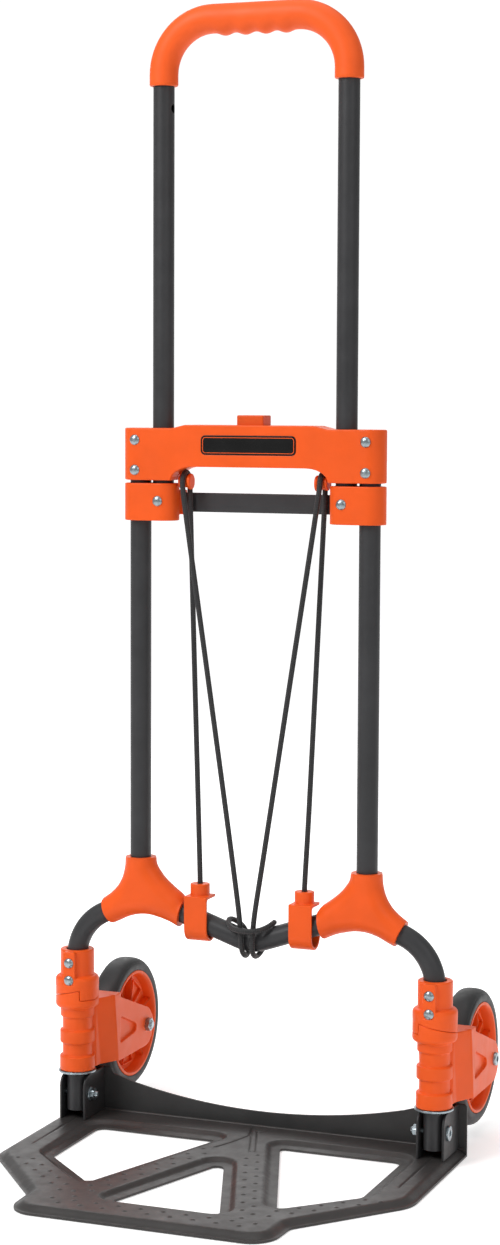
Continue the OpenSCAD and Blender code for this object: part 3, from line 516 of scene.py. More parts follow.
def smooth_path(points, step=3.0):
    """A centripetal curve through the points, sampled about every step millimetres."""
    p = [Vector(q) for q in points]
    p = [2 * p[0] - p[1]] + p + [2 * p[-1] - p[-2]]
    out = []
    for i in range(1, len(p) - 2):
        a, b, c, d = p[i - 1], p[i], p[i + 1], p[i + 2]
        t0 = 0.0
        t1 = t0 + (b - a).length ** 0.5
        t2 = t1 + (c - b).length ** 0.5
        t3 = t2 + (d - c).length ** 0.5
        n = max(2, int((c - b).length / step))
        for k in range(n):
            t = t1 + (t2 - t1) * k / n
            a1 = a * ((t1 - t) / (t1 - t0)) + b * ((t - t0) / (t1 - t0))
            a2 = b * ((t2 - t) / (t2 - t1)) + c * ((t - t1) / (t2 - t1))
            a3 = c * ((t3 - t) / (t3 - t2)) + d * ((t - t2) / (t3 - t2))
            b1 = a1 * ((t2 - t) / (t2 - t0)) + a2 * ((t - t0) / (t2 - t0))
            b2 = a2 * ((t3 - t) / (t3 - t1)) + a3 * ((t - t1) / (t3 - t1))
            out.append(b1 * ((t2 - t) / (t2 - t1)) + b2 * ((t - t1) / (t2 - t1)))
    out.append(p[-2])
    return out


def build(name, shape, mat, body, replaces=(), sharp=35, weld=True):
    """A piece from a Shape, riding on its CAD body."""
    me = bpy.data.meshes.new(name)
    me.from_pydata([metres(p) for p in shape.v], [], shape.f)
    bm = bmesh.new()
    bm.from_mesh(me)
    if weld:
        bmesh.ops.remove_doubles(bm, verts=bm.verts, dist=1e-7)
    bmesh.ops.recalc_face_normals(bm, faces=bm.faces)
    bm.to_mesh(me)
    bm.free()
    me.validate()
    finish_mesh(me, sharp)
    ob = bpy.data.objects.new(name, me)
    scene.collection.objects.link(ob)
    me.materials.append(mat)
    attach(ob, body)
    if replaces:
        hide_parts(*replaces)
    return ob


def finish_mesh(me, sharp):
    me.polygons.foreach_set("use_smooth", [True] * len(me.polygons))
    me.set_sharp_from_angle(angle=math.radians(sharp))


def moulded(name, node, mat, body, voxel, soften):
    """A moulded piece: the CAD solid with its edges and inner corners rounded by the mould."""
    ob = bpy.data.objects.new(name, nodes[node].data.copy())
    scene.collection.objects.link(ob)
    mod = ob.modifiers.new("remesh", "REMESH")
    mod.mode = "VOXEL"
    mod.voxel_size = voxel * MM
    mod = ob.modifiers.new("soften", "SMOOTH")
    mod.factor = 0.5
    mod.iterations = soften
    done = bpy.data.meshes.new_from_object(ob.evaluated_get(bpy.context.evaluated_depsgraph_get()))
    ob.modifiers.clear()
    ob.data = done
    done.name = name
    done.materials.clear()
    done.materials.append(mat)
    finish_mesh(done, 60)
    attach(ob, body)
    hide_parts(node)
    return ob


SIDES = (("left", -1), ("right", 1))

# ---------------------------------------------------------------- camera and light

cam_data = bpy.data.cameras.new("camera")
cam = bpy.data.objects.new("camera", cam_data)
scene.collection.objects.link(cam)
scene.camera = cam
yaw, pitch, roll = math.radians(21.38), math.radians(4.95), math.radians(0.236)
ahead = Vector((-math.sin(yaw) * math.cos(pitch), math.cos(yaw) * math.cos(pitch), -math.sin(pitch)))
right = Vector((math.cos(yaw), math.sin(yaw), 0))
up = right.cross(ahead)
right, up = right * math.cos(roll) + up * math.sin(roll), up * math.cos(roll) - right * math.sin(roll)
turn = Matrix((right, up, -ahead)).transposed().to_4x4()
CAMERA_AT = (830.5, -2142.0, 673.6)
cam.matrix_world = Matrix.Translation(metres(CAMERA_AT)) @ turn
cam_data.sensor_width = 36
cam_data.lens = 74.84
cam_data.shift_x = 0.0043
cam_data.shift_y = -0.0006
cam_data.clip_start = 0.05
cam_data.clip_end = 50

scene.view_settings.view_transform = "Standard"

# The backdrop is bright in one fixed direction and fades to both sides; the floor
# fades with it, so that the two meet without a hard edge.
SWEEP_AHEAD = (-0.36, 0.93, 0)
SWEEP_FROM = (0.83, -2.09, 0)
SWEEP_FADE = (0.7, 0.94)
FADE_OUT, FULL = 0.42, 1.05
world = bpy.data.worlds.new("studio")
scene.world = world
world.use_nodes = True
sky = world.node_tree
direction = sky.nodes.new("ShaderNodeTexCoord")
toward = sky.nodes.new("ShaderNodeVectorMath")
toward.operation = "DOT_PRODUCT"
toward.inputs[1].default_value = SWEEP_AHEAD
sky.links.new(direction.outputs["Generated"], toward.inputs[0])
sweep_light = sky.nodes.new("ShaderNodeMapRange")
sweep_light.inputs["From Min"].default_value = SWEEP_FADE[0]
sweep_light.inputs["From Max"].default_value = SWEEP_FADE[1]
sweep_light.inputs["To Min"].default_value = FADE_OUT
sweep_light.inputs["To Max"].default_value = FULL
sky.links.new(toward.outputs["Value"], sweep_light.inputs["Value"])
sky.nodes["Background"].inputs["Color"].default_value = (1, 1, 1, 1)
sky.links.new(sweep_light.outputs["Result"], sky.nodes["Background"].inputs["Strength"])


def lamp(name, place, target, size, power, size_y=None):
    data = bpy.data.lights.new(name, "AREA")
    data.shape = "RECTANGLE"
    data.size = size
    data.size_y = size_y or size
    data.energy = power
    ob = bpy.data.objects.new(name, data)
    scene.collection.objects.link(ob)
    ob.location = place
    ob.rotation_euler = (Vector(target) - Vector(place)).to_track_quat("-Z", "Y").to_euler()
    return ob


lamp("key", (-1.1, -1.8, 2.35), (0, 0, 0.65), 1.1, 52, 1.6)
lamp("fill", (2.2, -1.4, 1.9), (0, 0, 0.6), 1.2, 9, 1.6)
lamp("top", (0.1, 0.2, 2.9), (0, 0, 0.3), 1.6, 12)
lamp("back", (-1.2, 2.2, 1.8), (0, 0, 0.5), 1.4, 9)


def paper_floor():
    """Matt paper that glows a little behind the object, as a lit studio sweep does."""
    half = 24
    me = bpy.data.meshes.new("floor")
    corners = [(-half, -half, 0), (half, -half, 0), (half, half, 0), (-half, half, 0)]
    me.from_pydata(corners, [], [(0, 1, 2, 3)])
    floor = bpy.data.objects.new("floor", me)
    scene.collection.objects.link(floor)
    floor.location.z = cad_low[2] - 0.0004
    paper = Mat("floor_paper", (0.93, 0.93, 0.93), 0.9)
    paper.color(paper.noise(3, 3), [(0.3, (0.92, 0.92, 0.92)), (0.7, (0.94, 0.94, 0.94))])
    paper.b.inputs["Emission Color"].default_value = (1, 1, 1, 1)
    split = paper.tree.nodes.new("ShaderNodeSeparateXYZ")
    paper.link(paper.coord, split.inputs[0])
    behind = paper.remap(split.outputs["Y"], -0.9, 0.6, 0.0, 0.66)
    way = paper.vector("NORMALIZE", paper.vector("SUBTRACT", paper.coord, SWEEP_FROM))
    ahead = paper.remap(paper.vector("DOT_PRODUCT", way, SWEEP_AHEAD), *SWEEP_FADE, 0.0, 1.0)
    paper.link(paper.math("MULTIPLY", behind, ahead), paper.b.inputs["Emission Strength"])
    me.materials.append(paper.m)


paper_floor()

# ---------------------------------------------------------------- carried-over CAD nodes

for names, mat in (
    (("upright_left", "upright_right", "handle_tube"), mat_tube),
    (("handle_end_plugs", "latch_slider_left", "latch_slider_right"), mat_black),
    (("wheel_bush_left", "wheel_bush_right"), mat_bush),
    (("latch_spring", "fold_spring_left", "fold_spring_right"), mat_wire),
):
    for name in names:
        me = nodes[name].data
        me.materials.clear()
        me.materials.append(mat)

# ---------------------------------------------------------------- frame tube

TUBE_WALL, TUBE_SIDES = 1.2, 48
LEG_FOOT, LEG_BEND, LEG_TOP = 14.5, 48.0, 158.0
RISE, FALL = 20.0, 19.0
DIP_R, DIP_Z = 35.0, 186.0
PEAK_R = 22.0
# where the rise from the leg and the fall to the dip would meet, and the centre of the bend there
rise_rad, fall_rad = math.radians(RISE), math.radians(FALL)
rise_from = (LEG_X - LEG_BEND + LEG_BEND * math.sin(rise_rad), LEG_TOP + LEG_BEND * math.cos(rise_rad))
fall_from = (DIP_R * math.sin(fall_rad), DIP_Z + DIP_R * (1 - math.cos(fall_rad)))
rise_tan, fall_tan = math.tan(rise_rad), math.tan(fall_rad)
peak_x = rise_from[1] + rise_from[0] * rise_tan - fall_from[1] + fall_from[0] * fall_tan
peak_x /= rise_tan + fall_tan
peak_z = fall_from[1] + (peak_x - fall_from[0]) * fall_tan
reach, lean = PEAK_R / math.cos((rise_rad + fall_rad) / 2), (rise_rad - fall_rad) / 2
PEAK = (peak_x - reach * math.sin(lean), peak_z - reach * math.cos(lean))
half = [(LEG_X, 0, LEG_FOOT), (LEG_X, 0, 90), (LEG_X, 0, LEG_TOP - 1)]
half += [(x, 0, z) for x, z in arc(LEG_X - LEG_BEND, LEG_TOP, LEG_BEND, 0, 90 - RISE, 16)]
half += [(x, 0, z) for x, z in arc(*PEAK, PEAK_R, 90 - RISE, 90 + FALL, 8)]
half += [(x, 0, z) for x, z in arc(0, DIP_Z + DIP_R, DIP_R, 270 + FALL, 270, 6)]
full = half + [(-x, y, z) for x, y, z in half[-2::-1]]
v, f = sweep(full, TUBE_R, TUBE_SIDES, caps=False)
inner_v, inner_f = sweep(full, TUBE_R - TUBE_WALL, TUBE_SIDES, caps=False)
tube = Shape().add(v, f)
n_out = len(v)
tube.add(inner_v, [g[::-1] for g in inner_f])
for ring in (0, len(full) - 1):
    for k in range(TUBE_SIDES):
        j = (k + 1) % TUBE_SIDES
        a, b = ring * TUBE_SIDES + k, ring * TUBE_SIDES + j
        tube.f.append((a, n_out + a, n_out + b, b))
build("frame_tube", tube, mat_tube, "frame", ("base_tube",))

# ---------------------------------------------------------------- grip

GRIP_R, HANDLE_X, BEND = 12.8, 87.0, 47.0
FINGER_PITCH, FINGER_SPAN, FINGER_DEPTH = 19, 38.5, 2.4
low, high = box_mm("handle_grip")
GRIP_END, GRIP_TOP = low.z, high.z - GRIP_R
side = [(-HANDLE_X, 0, z) for z in np.linspace(GRIP_END, GRIP_TOP - BEND, 5)]
side += [(-HANDLE_X + BEND + x, 0, GRIP_TOP - BEND + z) for x, z in arc(0, 0, BEND, 180, 90, 20)[1:]]
span = HANDLE_X - BEND
across = [(x, 0, GRIP_TOP) for x in np.linspace(-span, span, 49)[1:-1]]
grip_path = side + across + [(-x, y, z) for x, y, z in side[::-1]]


def finger_waves(p, d):
    """Ridges between the fingers, on the underside of the straight run only."""
    if abs(p.x) > FINGER_SPAN or d.z > 0:
        return 0.0
    wave = math.cos(2 * math.pi * (p.x / FINGER_PITCH - 0.5)) * 0.5 + 0.5
    return FINGER_DEPTH * wave * (-d.z) ** 1.5


v, f = sweep(grip_path, GRIP_R, 56, caps=False, bulge=finger_waves)
grip = Shape().add(v, f)
mouth_r = TUBE_R + 0.15
lip = [(GRIP_R, 0), (GRIP_R - 0.4, -0.9), (GRIP_R - 1.4, -1.3), (mouth_r, -1.3), (mouth_r, 6)]
for s in (-1, 1):
    lv, lf = lathe(lip, 56)
    grip.add(lv, lf, at(s * HANDLE_X, 0, GRIP_END))
build("grip_sleeve", grip, mat_grip, "handle", ("handle_grip",))

# ---------------------------------------------------------------- moulded orange parts

moulded("housing_shell_front", "housing_front", mat_orange, "frame", 0.8, 5)
moulded("housing_shell_rear", "housing_rear", mat_orange, "frame", 0.8, 5)
moulded("push_button", "release_button", mat_button, "button", 0.6, 4)
for side_name, s in SIDES:
    moulded(f"collar_{side_name}", f"leg_collar_{side_name}", mat_orange, "frame", 0.48, 3)
    moulded(f"clip_{side_name}", f"cord_clip_{side_name}", mat_orange, "frame", 0.55, 5)
    moulded(f"slide_clamp_{side_name}", f"clamp_{side_name}", mat_orange, "handle", 0.7, 4)
    moulded(f"fork_{side_name}", f"yoke_{side_name}", mat_orange, f"yoke_{side_name}", 0.68, 2)
    moulded(f"bracket_{side_name}", f"hinge_bracket_{side_name}", mat_bracket_painted_shade, "toe_plate", 0.5, 3)

# ---------------------------------------------------------------- joint covers

COVER_R = 13.4
MOUTH_STEPS = 16
COVER_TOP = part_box("joint_cover_right")[1].z / MM
# sides of the cover between its three open ends, as (distance from the middle, height)
cover_sides = [
    [(94.6, COVER_TOP), (93.4, 249), (89.5, 242.8), (84.8, 237.3), (79.8, 232.9), (73.5, 228),
     (68, 224), (64.3, 219.6)],
    [(70, 193.8), (77.6, 197.4), (84, 199.7), (89.8, 201.2), (98.6, 202.9), (106.5, 202.9),
     (112.5, 202), (121.4, 199.2), (130, 195), (136, 192.3)],
    [(146, 214.9), (138.5, 220.3), (132.5, 226), (127.5, 233.5), (124.6, 241.5), (123.3, 249),
     (123, COVER_TOP)],
]


def cover_swell(d):
    """Half thickness at distance d from the side: round like a sleeve, flat where it is wider."""
    d = np.clip(d, 0, COVER_R)
    return np.sqrt(np.maximum(COVER_R ** 2 - (COVER_R - d) ** 2, 0))


def joint_boot(side_name, s):
    curves = [smooth_path([(x, z, 0) for x, z in part], 1.6) for part in cover_sides]
    sides = [np.array([[q.x, q.y] for q in curve]) for curve in curves]
    outline, closed = [], []
    for part, following in zip(sides, sides[1:] + sides[:1]):
        outline += list(part)
        closed += [True] * (len(part) - 1) + [False]
        outline += [part[-1] + (following[0] - part[-1]) * i / MOUTH_STEPS for i in range(1, MOUTH_STEPS)]
        closed += [False] * (MOUTH_STEPS - 1)
    outline = np.array(outline)
    step = 1.8
    gx, gz = np.meshgrid(np.arange(60, 150, step), np.arange(190, COVER_TOP, step))
    pts = [np.stack([gx.ravel(), gz.ravel()], 1)]
    for part in sides:
        for d in (0.25, 0.8, 1.7, 3.0, 4.8, 7.0, 9.6, 12.4, 13.4):
            for w in (-1, 1):
                t = np.gradient(part, axis=0)
                t /= np.linalg.norm(t, axis=1, keepdims=True)
                pts.append(part + w * d * np.stack([-t[:, 1], t[:, 0]], 1))
    p = np.vstack(pts)
    p = p[inside(p, outline)]
    loop = np.vstack([outline, outline[:1]])
    side_d = np.min([distance(p, part) for part in sides], axis=0)
    p = p[(distance(p, loop) > 0.2) & (side_d > 0.2)]
    keep = []
    taken = set()
    for q, d in zip(p, np.min([distance(p, part) for part in sides], axis=0)):
        cell = max(0.35, min(1.5, d * 0.45))
        key = (round(q[0] / cell), round(q[1] / cell), round(cell, 1))
        if key not in taken:
            taken.add(key)
            keep.append(q)
    co, tris, where = fill([outline], np.array(keep))
    d = np.min([distance(co, part) for part in sides], axis=0)
    h = cover_swell(d)
    n = len(co)
    verts = [(s * x, -t, z) for (x, z), t in zip(co, h)] + [(s * x, t, z) for (x, z), t in zip(co, h)]
    faces = [t for t in tris] + [(t[0] + n, t[2] + n, t[1] + n) for t in tris]
    for i, shut in enumerate(closed):
        a, b = where[i], where[(i + 1) % len(outline)]
        if not shut:
            faces.append((a, b, b + n, a + n))
    build(f"joint_boot_{side_name}", Shape().add(verts, faces), mat_orange, "frame",
          (f"joint_cover_{side_name}",), sharp=50)


for side_name, s in SIDES:
    joint_boot(side_name, s)

# ---------------------------------------------------------------- crossbar and badge

low, high = box_mm("crossbar")
bar = Shape()
section = rounded_box(low.y - LEG_Y, high.y - LEG_Y, low.z, high.z, 1.4)
v, f = prism(section, low.x, high.x, 0.4, 0.4)
bar.add(v, f, X_AXIS)
build("flat_bar", bar, mat_bar, "handle", ("crossbar",))

low, high = box_mm("badge_plate")


def badge_loop(d, r):
    """The badge's outline moved inwards by d."""
    return rounded_box(low.x + d, high.x - d, low.z + d, high.z - d, r)


front_y = low.y - LEG_Y
badge = Shape()
v, f = prism(badge_loop(0, 4), -(high.y - LEG_Y), -front_y, 0, 0.35)
badge.add(v, f, Y_FRONT)
build("badge", badge, mat_badge, "frame", ("badge_plate",))
line = Shape()
LINE_IN, LINE_W, LINE_RISE = 1.6, 0.55, 0.12
v, f = prism(badge_loop(LINE_IN, 2.7), -front_y - 0.2, -front_y + LINE_RISE, 0, 0.05,
             holes=[badge_loop(LINE_IN + LINE_W, 2.2)], edge=0.03)
line.add(v, f, Y_FRONT)
build("badge_line", line, mat_orange, "frame", ())

# ---------------------------------------------------------------- toe plate

TOP, SHEET, WALL_T = 6.8, 2.0, 2.2
low, high = box_mm("toe_plate")
PLATE_X = high.x
PLATE_FRONT, WALL_BACK = low.y - LEG_Y, high.y - LEG_Y
WALL_Y = WALL_BACK - WALL_T
outline = rounded([
    [PLATE_X, WALL_BACK - 0.4, 0], [-PLATE_X, WALL_BACK - 0.4, 0], [-PLATE_X, -126, 36], [-118.5, -217, 12],
    [-116.5, PLATE_FRONT, 24], [116.5, PLATE_FRONT, 24], [118.5, -217, 12], [PLATE_X, -126, 36],
], 10)
windows = [
    rounded([[-146, -10.5, 9], [-146, -110, 8], [-85, -169, 4], [-30, -10.5, 3]], 8),
    rounded([[2, -70, 6], [-44.5, -208.5, 3], [53.5, -208.5, 4]], 8),
    rounded([[148, -11, 9], [32.5, -11, 4], [92, -177, 3], [148, -121, 12]], 8),
]
# the outline without its back edge, and the windows as closed paths
skirt_path = np.vstack([outline[1:], outline[:1]])
window_paths = [np.vstack([w, w[:1]]) for w in windows]
LIP_W, SHELF_W, SKIRT_W = 13.5, 7.2, 9.5
STUD_R, STUD_RISE = 2.5, 0.75


def step_up(s):
    s = np.clip(s, 0, 1)
    return s * s * (3 - 2 * s)


def row(x, y, dx, dy, n):
    return [(x + dx * i, y + dy * i) for i in range(n)]


studs = row(-88, -231.5, 20.2, 0, 10) + row(-78, -241.5, 20.2, 0, 9)
studs += row(-166, -138, 14.8, -14.2, 6) + row(-152, -137, 14.7, -14, 5)
studs += row(97, -209, 14.6, 14, 6) + row(98, -194, 14.5, 13.8, 5)
studs += row(-79, -208, 6.75, 19.4, 9) + row(-72, -221, 6.7, 19.4, 9)
studs += row(21, -66, 7.15, -19.5, 9) + row(27, -53, 7, -19.5, 9)
# pressed grooves: path, width and depth
grooves = [
    ([(-172.5, -93), (-172.5, -6)], 1.2, 0.8), ([(172.5, -93), (172.5, -6)], 1.2, 0.8),
    ([(-17, -44), (-9, -24), (-2, 2), (-8, 24)], 1.2, 0.9), ([(1, 14), (7, 19), (9, 25)], 1.1, 0.7),
    ([(-6, 18), (16, -45)], 0.8, 0.6), ([(0, 16), (21, -43)], 0.8, 0.6),
]


def lip_height(d):
    """A shallow shelf at the hole's edge, then a steep pressed step up to the deck."""
    shelf = SHEET + 0.25 + 0.13 * d
    return shelf + (TOP + 0.02 - shelf) * step_up((d - SHELF_W) / (LIP_W - SHELF_W))


def plate_height(p):
    d_out = distance(p, skirt_path)
    z = TOP - (TOP - SHEET) * (1 - step_up((d_out - 0.6) / (SKIRT_W - 0.6)))
    d_in = np.min([distance(p, path) for path in window_paths], axis=0)
    z = np.minimum(z, lip_height(d_in))
    for path, width, depth in grooves:
        d = distance(p, np.array(path, float))
        z -= depth * np.exp(-((d / width) ** 2) * 1.5)
    for c in studs:
        d = np.linalg.norm(p - np.array(c), axis=1)
        z += STUD_RISE * np.clip(1 - (d / STUD_R) ** 2, 0, 1) ** 1.2
    return z


SKIRT_RINGS = (1.2, 2.6, 4.2, 5.8, 7.4, 9.2, 11)
LIP_RINGS = (1.6, 4, 6.4, 7.6, 8.6, 9.5, 10.4, 11.3, 12.2, 13.1, 14.4, 16.6)


def plate_points():
    """Points of the plate's mesh: a grid, with closer rows along the edges, studs and grooves."""
    step = 5.5
    gx, gy = np.meshgrid(np.arange(-190, 190.1, step), np.arange(PLATE_FRONT + 3, WALL_Y, step))
    pts = [np.stack([gx.ravel(), gy.ravel()], 1)]
    paths = [skirt_path] + window_paths
    rings = [(skirt_path, resample(skirt_path, 4.0, closed=False), -1, SKIRT_RINGS)]
    rings += [(path, resample(path[:-1], 4.0), 1, LIP_RINGS) for path in window_paths]
    for path, dense, way, depths in rings:
        for d in depths:
            ring = grow(dense, way * d)
            pts.append(ring[np.abs(distance(ring, path) - d) < 0.35])
    p = np.vstack(pts)
    keep = inside(p, outline)
    for w in windows:
        keep &= ~inside(p, w)
    for path in paths:
        keep &= distance(p, path) > 0.9
    p = p[keep]
    near = np.full(len(p), False)
    for c in studs:
        near |= np.linalg.norm(p - np.array(c), axis=1) < 3.4
    for path, width, _ in grooves:
        near |= distance(p, np.array(path, float)) < width * 2.0
    p = p[~near]
    extra = []
    for c in studs:
        extra.append(np.array([c]))
        for r, n in ((1.0, 7), (1.8, 10), (STUD_R, 12), (3.3, 12)):
            extra.append(circle(c, r, n))
    for path, width, _ in grooves:
        path = np.array(path, float)
        for a, b in zip(path[:-1], path[1:]):
            n = int(np.linalg.norm(b - a) / 1.6) + 1
            side = np.array([-(b - a)[1], (b - a)[0]]) / np.linalg.norm(b - a)
            for off in (-2.1, -1.2, -0.6, 0, 0.6, 1.2, 2.1):
                extra.append(np.array([a + (b - a) * i / n + side * off * width for i in range(n + 1)]))
    extra = np.vstack(extra)
    keep = inside(extra, outline)
    for path in paths:
        keep &= distance(extra, path) > 1.0
    return np.vstack([p, extra[keep]])


loops = [resample(outline, 4.0)] + [resample(w, 4.0) for w in windows]
co, tris, where = fill(loops, plate_points())
top_z = plate_height(co)
bottom_z = np.maximum(top_z - SHEET, 0.0)
n = len(co)
verts = [(x, y, z) for (x, y), z in zip(co, top_z)] + [(x, y, z) for (x, y), z in zip(co, bottom_z)]
faces = [t for t in tris] + [(t[0] + n, t[2] + n, t[1] + n) for t in tris]
start = 0
for loop in loops:
    ids = where[start: start + len(loop)]
    start += len(loop)
    for a, b in zip(ids, ids[1:] + ids[:1]):
        faces.append((a, b, b + n, a + n))
plate = Shape().add(verts, faces)
build("pressed_plate", plate, mat_plate_painted_lit, "toe_plate", ("toe_plate",), sharp=50)

# back wall: folded up from the plate, hollow between two tabs
TAB_X, TAB_TOP, WALL_FOOT = 153.5, 47.5, 0.3
DIP_LOW, DIP_ARC = 20.4, 580
dip = [(x, DIP_LOW + DIP_ARC - math.sqrt(DIP_ARC ** 2 - x ** 2))
       for x in np.linspace(TAB_X - 4, -TAB_X + 4, 41)]
tab = [[PLATE_X, TAB_TOP, 3.5], [TAB_X, TAB_TOP, 5], [TAB_X - 1, dip[0][1] + 1, 6]]
tab_left = [[-x, z, r] for x, z, r in tab[::-1]]
wall_right = rounded([[-PLATE_X, WALL_FOOT, 0], [PLATE_X, WALL_FOOT, 0], *tab, [0, DIP_LOW, 0]], 8)[:-1]
wall_left = rounded([[0, DIP_LOW, 0], *tab_left, [-PLATE_X, WALL_FOOT, 0]], 8)[1:-1]
wall_outline = np.vstack([wall_right, np.array(dip[2:-2]), wall_left])
wall = Shape()
v, f = prism(wall_outline, WALL_Y, WALL_BACK, 0.5, 0.5)
wall.add(v, f, Y_UPRIGHT)
build("back_wall", wall, mat_wall, "toe_plate", ())
# the rolled bend where wall and plate meet
bend_path = [(-PLATE_X + 1.5, WALL_Y - 0.2, TOP - 0.4), (PLATE_X - 1.5, WALL_Y - 0.2, TOP - 0.4)]
v, f = sweep(bend_path, 1.5, 16)
build("plate_bend", Shape().add(v, f), mat_plate_painted_lit, "toe_plate", ())

# ---------------------------------------------------------------- bungee cord

CORD_R, CORD_SIDES = 2.4, 20
cord_half = [
    (-50.3, 0, 226), (-50.3, 0, 236), (-53, 2, 300), (-59, 5, 450), (-64.4, 8, 590),
    (-64.6, 8, 598), (-64.8, 6.4, 603.4), (-65, 3.2, 606.2), (-65, 0, 607), (-65, -3.2, 606.2),
    (-65.1, -6.4, 603.4), (-65.2, -8, 598), (-64.4, -8.4, 590), (-39, -9.8, 422),
    (-16, -11.2, 270), (-7.4, -12.6, 212), (-6.2, -12.8, 200), (-5.4, -12.8, 188),
    (-5, -10.8, 178.6), (-4.8, -5.6, 174), (-5, 0, 172.8), (-5.8, 6, 174.4),
    (-7, 10.8, 178.8), (-8.8, 12.8, 187), (-12, 12, 195), (-16.5, 8.5, 200.8),
    (-20.3, 3.5, 204), (-21.3, -1.5, 204.4), (-19, -8, 202.2), (-13, -14.8, 199.6),
    (-6.5, -18.2, 198.8), (0, -19, 198.6),
]
cord_route = cord_half + [(-x, y, z) for x, y, z in cord_half[-2::-1]]
cord_path = smooth_path(cord_route, 2.5)
v, f = sweep(cord_path, CORD_R, CORD_SIDES)
cord = build("bungee", Shape().add(v, f), mat_cord, "frame", ("bungee_cord",),
             sharp=60, weld=False)
along = [0.0]
for p, q in zip(cord_path, cord_path[1:]):
    along.append(along[-1] + (Vector(q) - Vector(p)).length * MM)
layer = cord.data.uv_layers.new(name="UVMap")
for poly in cord.data.polygons:
    ring = [cord.data.loops[i].vertex_index // CORD_SIDES for i in poly.loop_indices]
    spot = [cord.data.loops[i].vertex_index % CORD_SIDES for i in poly.loop_indices]
    wraps = max(spot) - min(spot) > CORD_SIDES // 2
    for i, a, b in zip(poly.loop_indices, ring, spot):
        b = b + CORD_SIDES if wraps and b == 0 else b
        layer.data[i].uv = (along[a], b / CORD_SIDES)

# ---------------------------------------------------------------- fasteners


HOUSING_R = 14.4
HEAD_SPREAD, TAIL_H = 1.16, 1.2
PAD_FRONT, NECK_BACK = -18.9, 15.5
low, high = box_mm("housing_rivets")
RIVET_RISE = -HOUSING_R - (low.y - LEG_Y)
RIVET_R = high.x - UPRIGHT_X


def rivet_dome(r, rise):
    return [(0, rise), (r * 0.32, rise * 0.95), (r * 0.6, rise * 0.8), (r * 0.82, rise * 0.53),
            (r * 0.95, rise * 0.26), (r, 0.28), (r, 0.0), (r * 0.5, -0.6), (0, -0.6)]


def rivet_tail(r, h):
    return [(0, h - 0.5), (r * 0.35, h - 0.45), (r * 0.5, h), (r * 0.85, h), (r, h - 0.3), (r, 0),
            (r * 0.5, -0.5), (0, -0.5)]


def rivets(name, node, body, places):
    """Rivets at places, each (x, z, front y, back y)."""
    shape = Shape()
    for x, z, front, back in places:
        v, f = lathe(rivet_dome(RIVET_R * HEAD_SPREAD, RIVET_RISE), 40)
        shape.add(v, f, at(x, front, z, Y_FRONT))
        v, f = lathe(rivet_tail(RIVET_R - 0.8, TAIL_H), 28)
        shape.add(v, f, at(x, back, z, Y_BACK))
        v, f = lathe([(0, -front + 0.3), (2.3, -front + 0.3), (2.3, -back - 0.3), (0, -back - 0.3)], 20)
        shape.add(v, f, at(x, 0, z, Y_FRONT))
    return build(name, shape, mat_zinc, body, (node,), sharp=40)


zs = (low.z + RIVET_R, high.z - RIVET_R)
rivets("housing_rivet_heads", "housing_rivets", "frame",
       [(s * UPRIGHT_X, z, -HOUSING_R, HOUSING_R) for s in (-1, 1) for z in zs])
low, high = box_mm("clamp_rivets")
clamp_z = (low.z + high.z) / 2
rivets("clamp_rivet_heads", "clamp_rivets", "handle",
       [(s * HANDLE_X, clamp_z, -HOUSING_R, high.y - LEG_Y - TAIL_H) for s in (-1, 1)])
low, high = box_mm("collar_rivets")
zs = (low.z + RIVET_R, high.z - RIVET_R)
rivets("collar_rivet_heads", "collar_rivets", "frame",
       [(s * LEG_X, zs[0], PAD_FRONT, high.y - LEG_Y - TAIL_H) for s in (-1, 1)]
       + [(s * LEG_X, zs[1], low.y - LEG_Y + RIVET_RISE, NECK_BACK) for s in (-1, 1)])


def hex_nut(across, h, hole, start):
    """Hexagon with its corners turned down on the outer face."""
    r_flat = across / 2
    verts, faces, ring_ids = [], [], []
    segs = 72

    def hex_radius(a):
        a = (a - start) % (math.pi / 3)
        return r_flat / math.cos(a - math.pi / 6)

    def add_ring(z, radius=None):
        """A round ring of that radius, or a hexagonal one; z=None turns its corners down."""
        base = len(verts)
        for i in range(segs):
            a = 2 * math.pi * i / segs
            r = radius or hex_radius(a)
            level = h - max(0.0, r - r_flat * 0.98) * 0.58 if z is None else z
            verts.append((r * math.cos(a), r * math.sin(a), level))
        ring_ids.append(list(range(base, base + segs)))

    add_ring(0, hole)
    add_ring(0)
    add_ring(None)
    add_ring(h, r_flat * 0.96)
    add_ring(h, hole + 0.35)
    add_ring(h - 0.35, hole)
    for a, b in zip(ring_ids, ring_ids[1:] + ring_ids[:1]):
        for i in range(segs):
            j = (i + 1) % segs
            faces.append((a[i], a[j], b[j], b[i]))
    return verts, faces


def thread(r, z0, z1, pitch=1.0, depth=0.45, tip=0.6):
    """Threaded end of a bolt, ribs at the pitch, with a chamfered tip."""
    prof = [(0, z0)]
    z = z0
    while z < z1 - tip - pitch:
        prof += [(r - depth, z), (r, z + pitch * 0.5)]
        z += pitch
    prof += [(r - depth, z1 - tip), (r - depth - 0.4, z1), (0, z1)]
    return prof


def bolt_head(r, h, socket):
    """Round flat head with rolled edge and a hexagon socket."""
    return [(0, h - 1.2), (socket, h - 1.2), (socket, h - 0.15), (socket + 0.2, h), (r - 0.9, h),
            (r - 0.25, h - 0.3), (r, h - 0.9), (r, 0), (0, 0)]


def outward(s):
    """Turns local z away from the middle, on the side s."""
    return X_AXIS if s > 0 else Matrix.Rotation(math.pi, 4, "Z") @ X_AXIS


def round_bar(r, length, segs):
    """A plain shank that runs back from local z 0."""
    return lathe([(0, 0), (r, 0), (r, -length), (0, -length)], segs)


